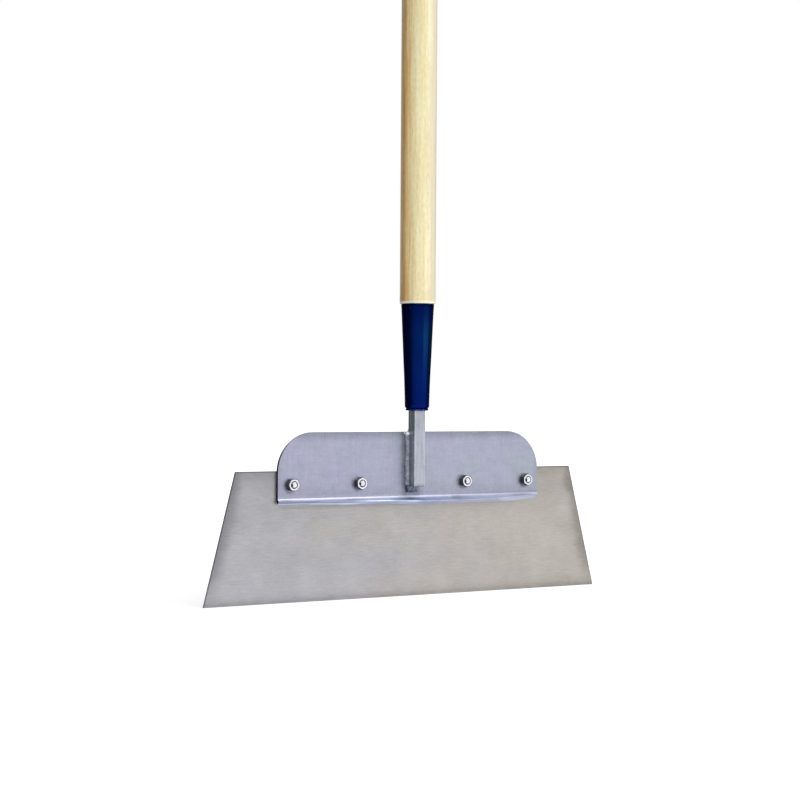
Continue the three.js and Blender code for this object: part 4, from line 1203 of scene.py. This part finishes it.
world = bpy.data.worlds.new("studio")
bpy.context.scene.world = world
world.use_nodes = True
wt = world.node_tree
wt.nodes.clear()
w_out = wt.nodes.new("ShaderNodeOutputWorld")
w_tc = wt.nodes.new("ShaderNodeTexCoord")
w_dot = wt.nodes.new("ShaderNodeVectorMath")
w_dot.operation = "DOT_PRODUCT"
w_dot.inputs[1].default_value = (0.259, -0.966, 0.0)
wt.links.new(w_tc.outputs["Generated"], w_dot.inputs[0])
w_sep = wt.nodes.new("ShaderNodeSeparateXYZ")
wt.links.new(w_tc.outputs["Generated"], w_sep.inputs[0])


def w_span(value, lo_, hi_, to_lo, to_hi):
    n = wt.nodes.new("ShaderNodeMapRange")
    n.interpolation_type = "SMOOTHSTEP"
    for k, q in (("From Min", lo_), ("From Max", hi_), ("To Min", to_lo), ("To Max", to_hi)):
        n.inputs[k].default_value = q
    wt.links.new(value, n.inputs["Value"])
    return n.outputs[0]


# a broad soft box in front, a weaker one overhead, and a dark studio behind
w_sum = wt.nodes.new("ShaderNodeMath")
w_sum.operation = "ADD"
wt.links.new(w_span(w_dot.outputs["Value"], -0.62, 0.97, 0.20, 0.965), w_sum.inputs[0])
wt.links.new(w_span(w_sep.outputs[2], 0.25, 0.95, 0.0, 0.64), w_sum.inputs[1])
# and a narrow pale panel straight behind, so the tool's back isn't black
w_all = wt.nodes.new("ShaderNodeMath")
w_all.operation = "ADD"
wt.links.new(w_sum.outputs[0], w_all.inputs[0])
wt.links.new(w_span(w_sep.outputs[1], 0.93, 0.985, 0.0, 0.42), w_all.inputs[1])
w_soft = wt.nodes.new("ShaderNodeBackground")
w_soft.inputs[0].default_value = (0.985, 0.99, 1.0, 1)
wt.links.new(w_all.outputs[0], w_soft.inputs[1])
w_white = wt.nodes.new("ShaderNodeBackground")
w_white.inputs[0].default_value = (1, 1, 1, 1)
w_white.inputs[1].default_value = 1.0
w_lp = wt.nodes.new("ShaderNodeLightPath")
w_mix = wt.nodes.new("ShaderNodeMixShader")
wt.links.new(w_lp.outputs["Is Camera Ray"], w_mix.inputs[0])
wt.links.new(w_soft.outputs[0], w_mix.inputs[1])
wt.links.new(w_white.outputs[0], w_mix.inputs[2])
wt.links.new(w_mix.outputs[0], w_out.inputs[0])


def area(name, azimuth, elevation, distance, size, power, target, colour=(1, 1, 1)):
    a, e = math.radians(azimuth), math.radians(elevation)
    back = Vector((math.sin(a) * math.cos(e), -math.cos(a) * math.cos(e), math.sin(e)))
    d = bpy.data.lights.new(name, "AREA")
    d.shape, d.size, d.energy, d.color = "DISK", size, power, colour
    o = bpy.data.objects.new(name, d)
    bpy.context.scene.collection.objects.link(o)
    o.location = Vector(target) + back * distance
    o.rotation_mode = "QUATERNION"
    o.rotation_quaternion = (-back).to_track_quat("-Z", "Y")
    o.visible_camera = False
    return o


head = Vector((0, 0, (BLADE_LO.z + FER_HI.z) / 2))
area("key", 40, 27, 2.6, 1.0, 15, head)
area("back", 168, 16, 2.2, 1.7, 2.5, head)

# the camera stands where the picture was taken: left of square on, level with the bracket
AZ, EL, ROLL = -31.54, 0.17, 0.37
FOCAL_PX, SHIFT_X, SHIFT_Y, DEPTH = 1807.6, 10.69, -195.81, 1811.62
a, e, ro = map(math.radians, (AZ, EL, ROLL))
back = Vector((math.sin(a) * math.cos(e), -math.cos(a) * math.cos(e), math.sin(e)))
right = Vector((0, 0, 1)).cross(back).normalized()
up = back.cross(right)
right, up = math.cos(ro) * right + math.sin(ro) * up, -math.sin(ro) * right + math.cos(ro) * up
place_mm = -SHIFT_X * right - SHIFT_Y * up + DEPTH * back
cam_data = bpy.data.cameras.new("camera")
cam_data.sensor_fit = "HORIZONTAL"
cam_data.sensor_width = 36.0
cam_data.lens = FOCAL_PX * 36.0 / 800.0
cam_data.clip_start, cam_data.clip_end = 0.05, 60
cam = bpy.data.objects.new("camera", cam_data)
bpy.context.scene.collection.objects.link(cam)
m4 = Matrix((right, up, back)).transposed().to_4x4()
m4.translation = place_mm * MM + Vector((0, BLADE_LO.y, 0))
cam.matrix_world = m4
bpy.context.scene.camera = cam

scene = bpy.context.scene
scene.view_settings.view_transform = "Standard"
scene.view_settings.look = "None"
scene.view_settings.exposure = 0.0
scene.view_settings.gamma = 1.0
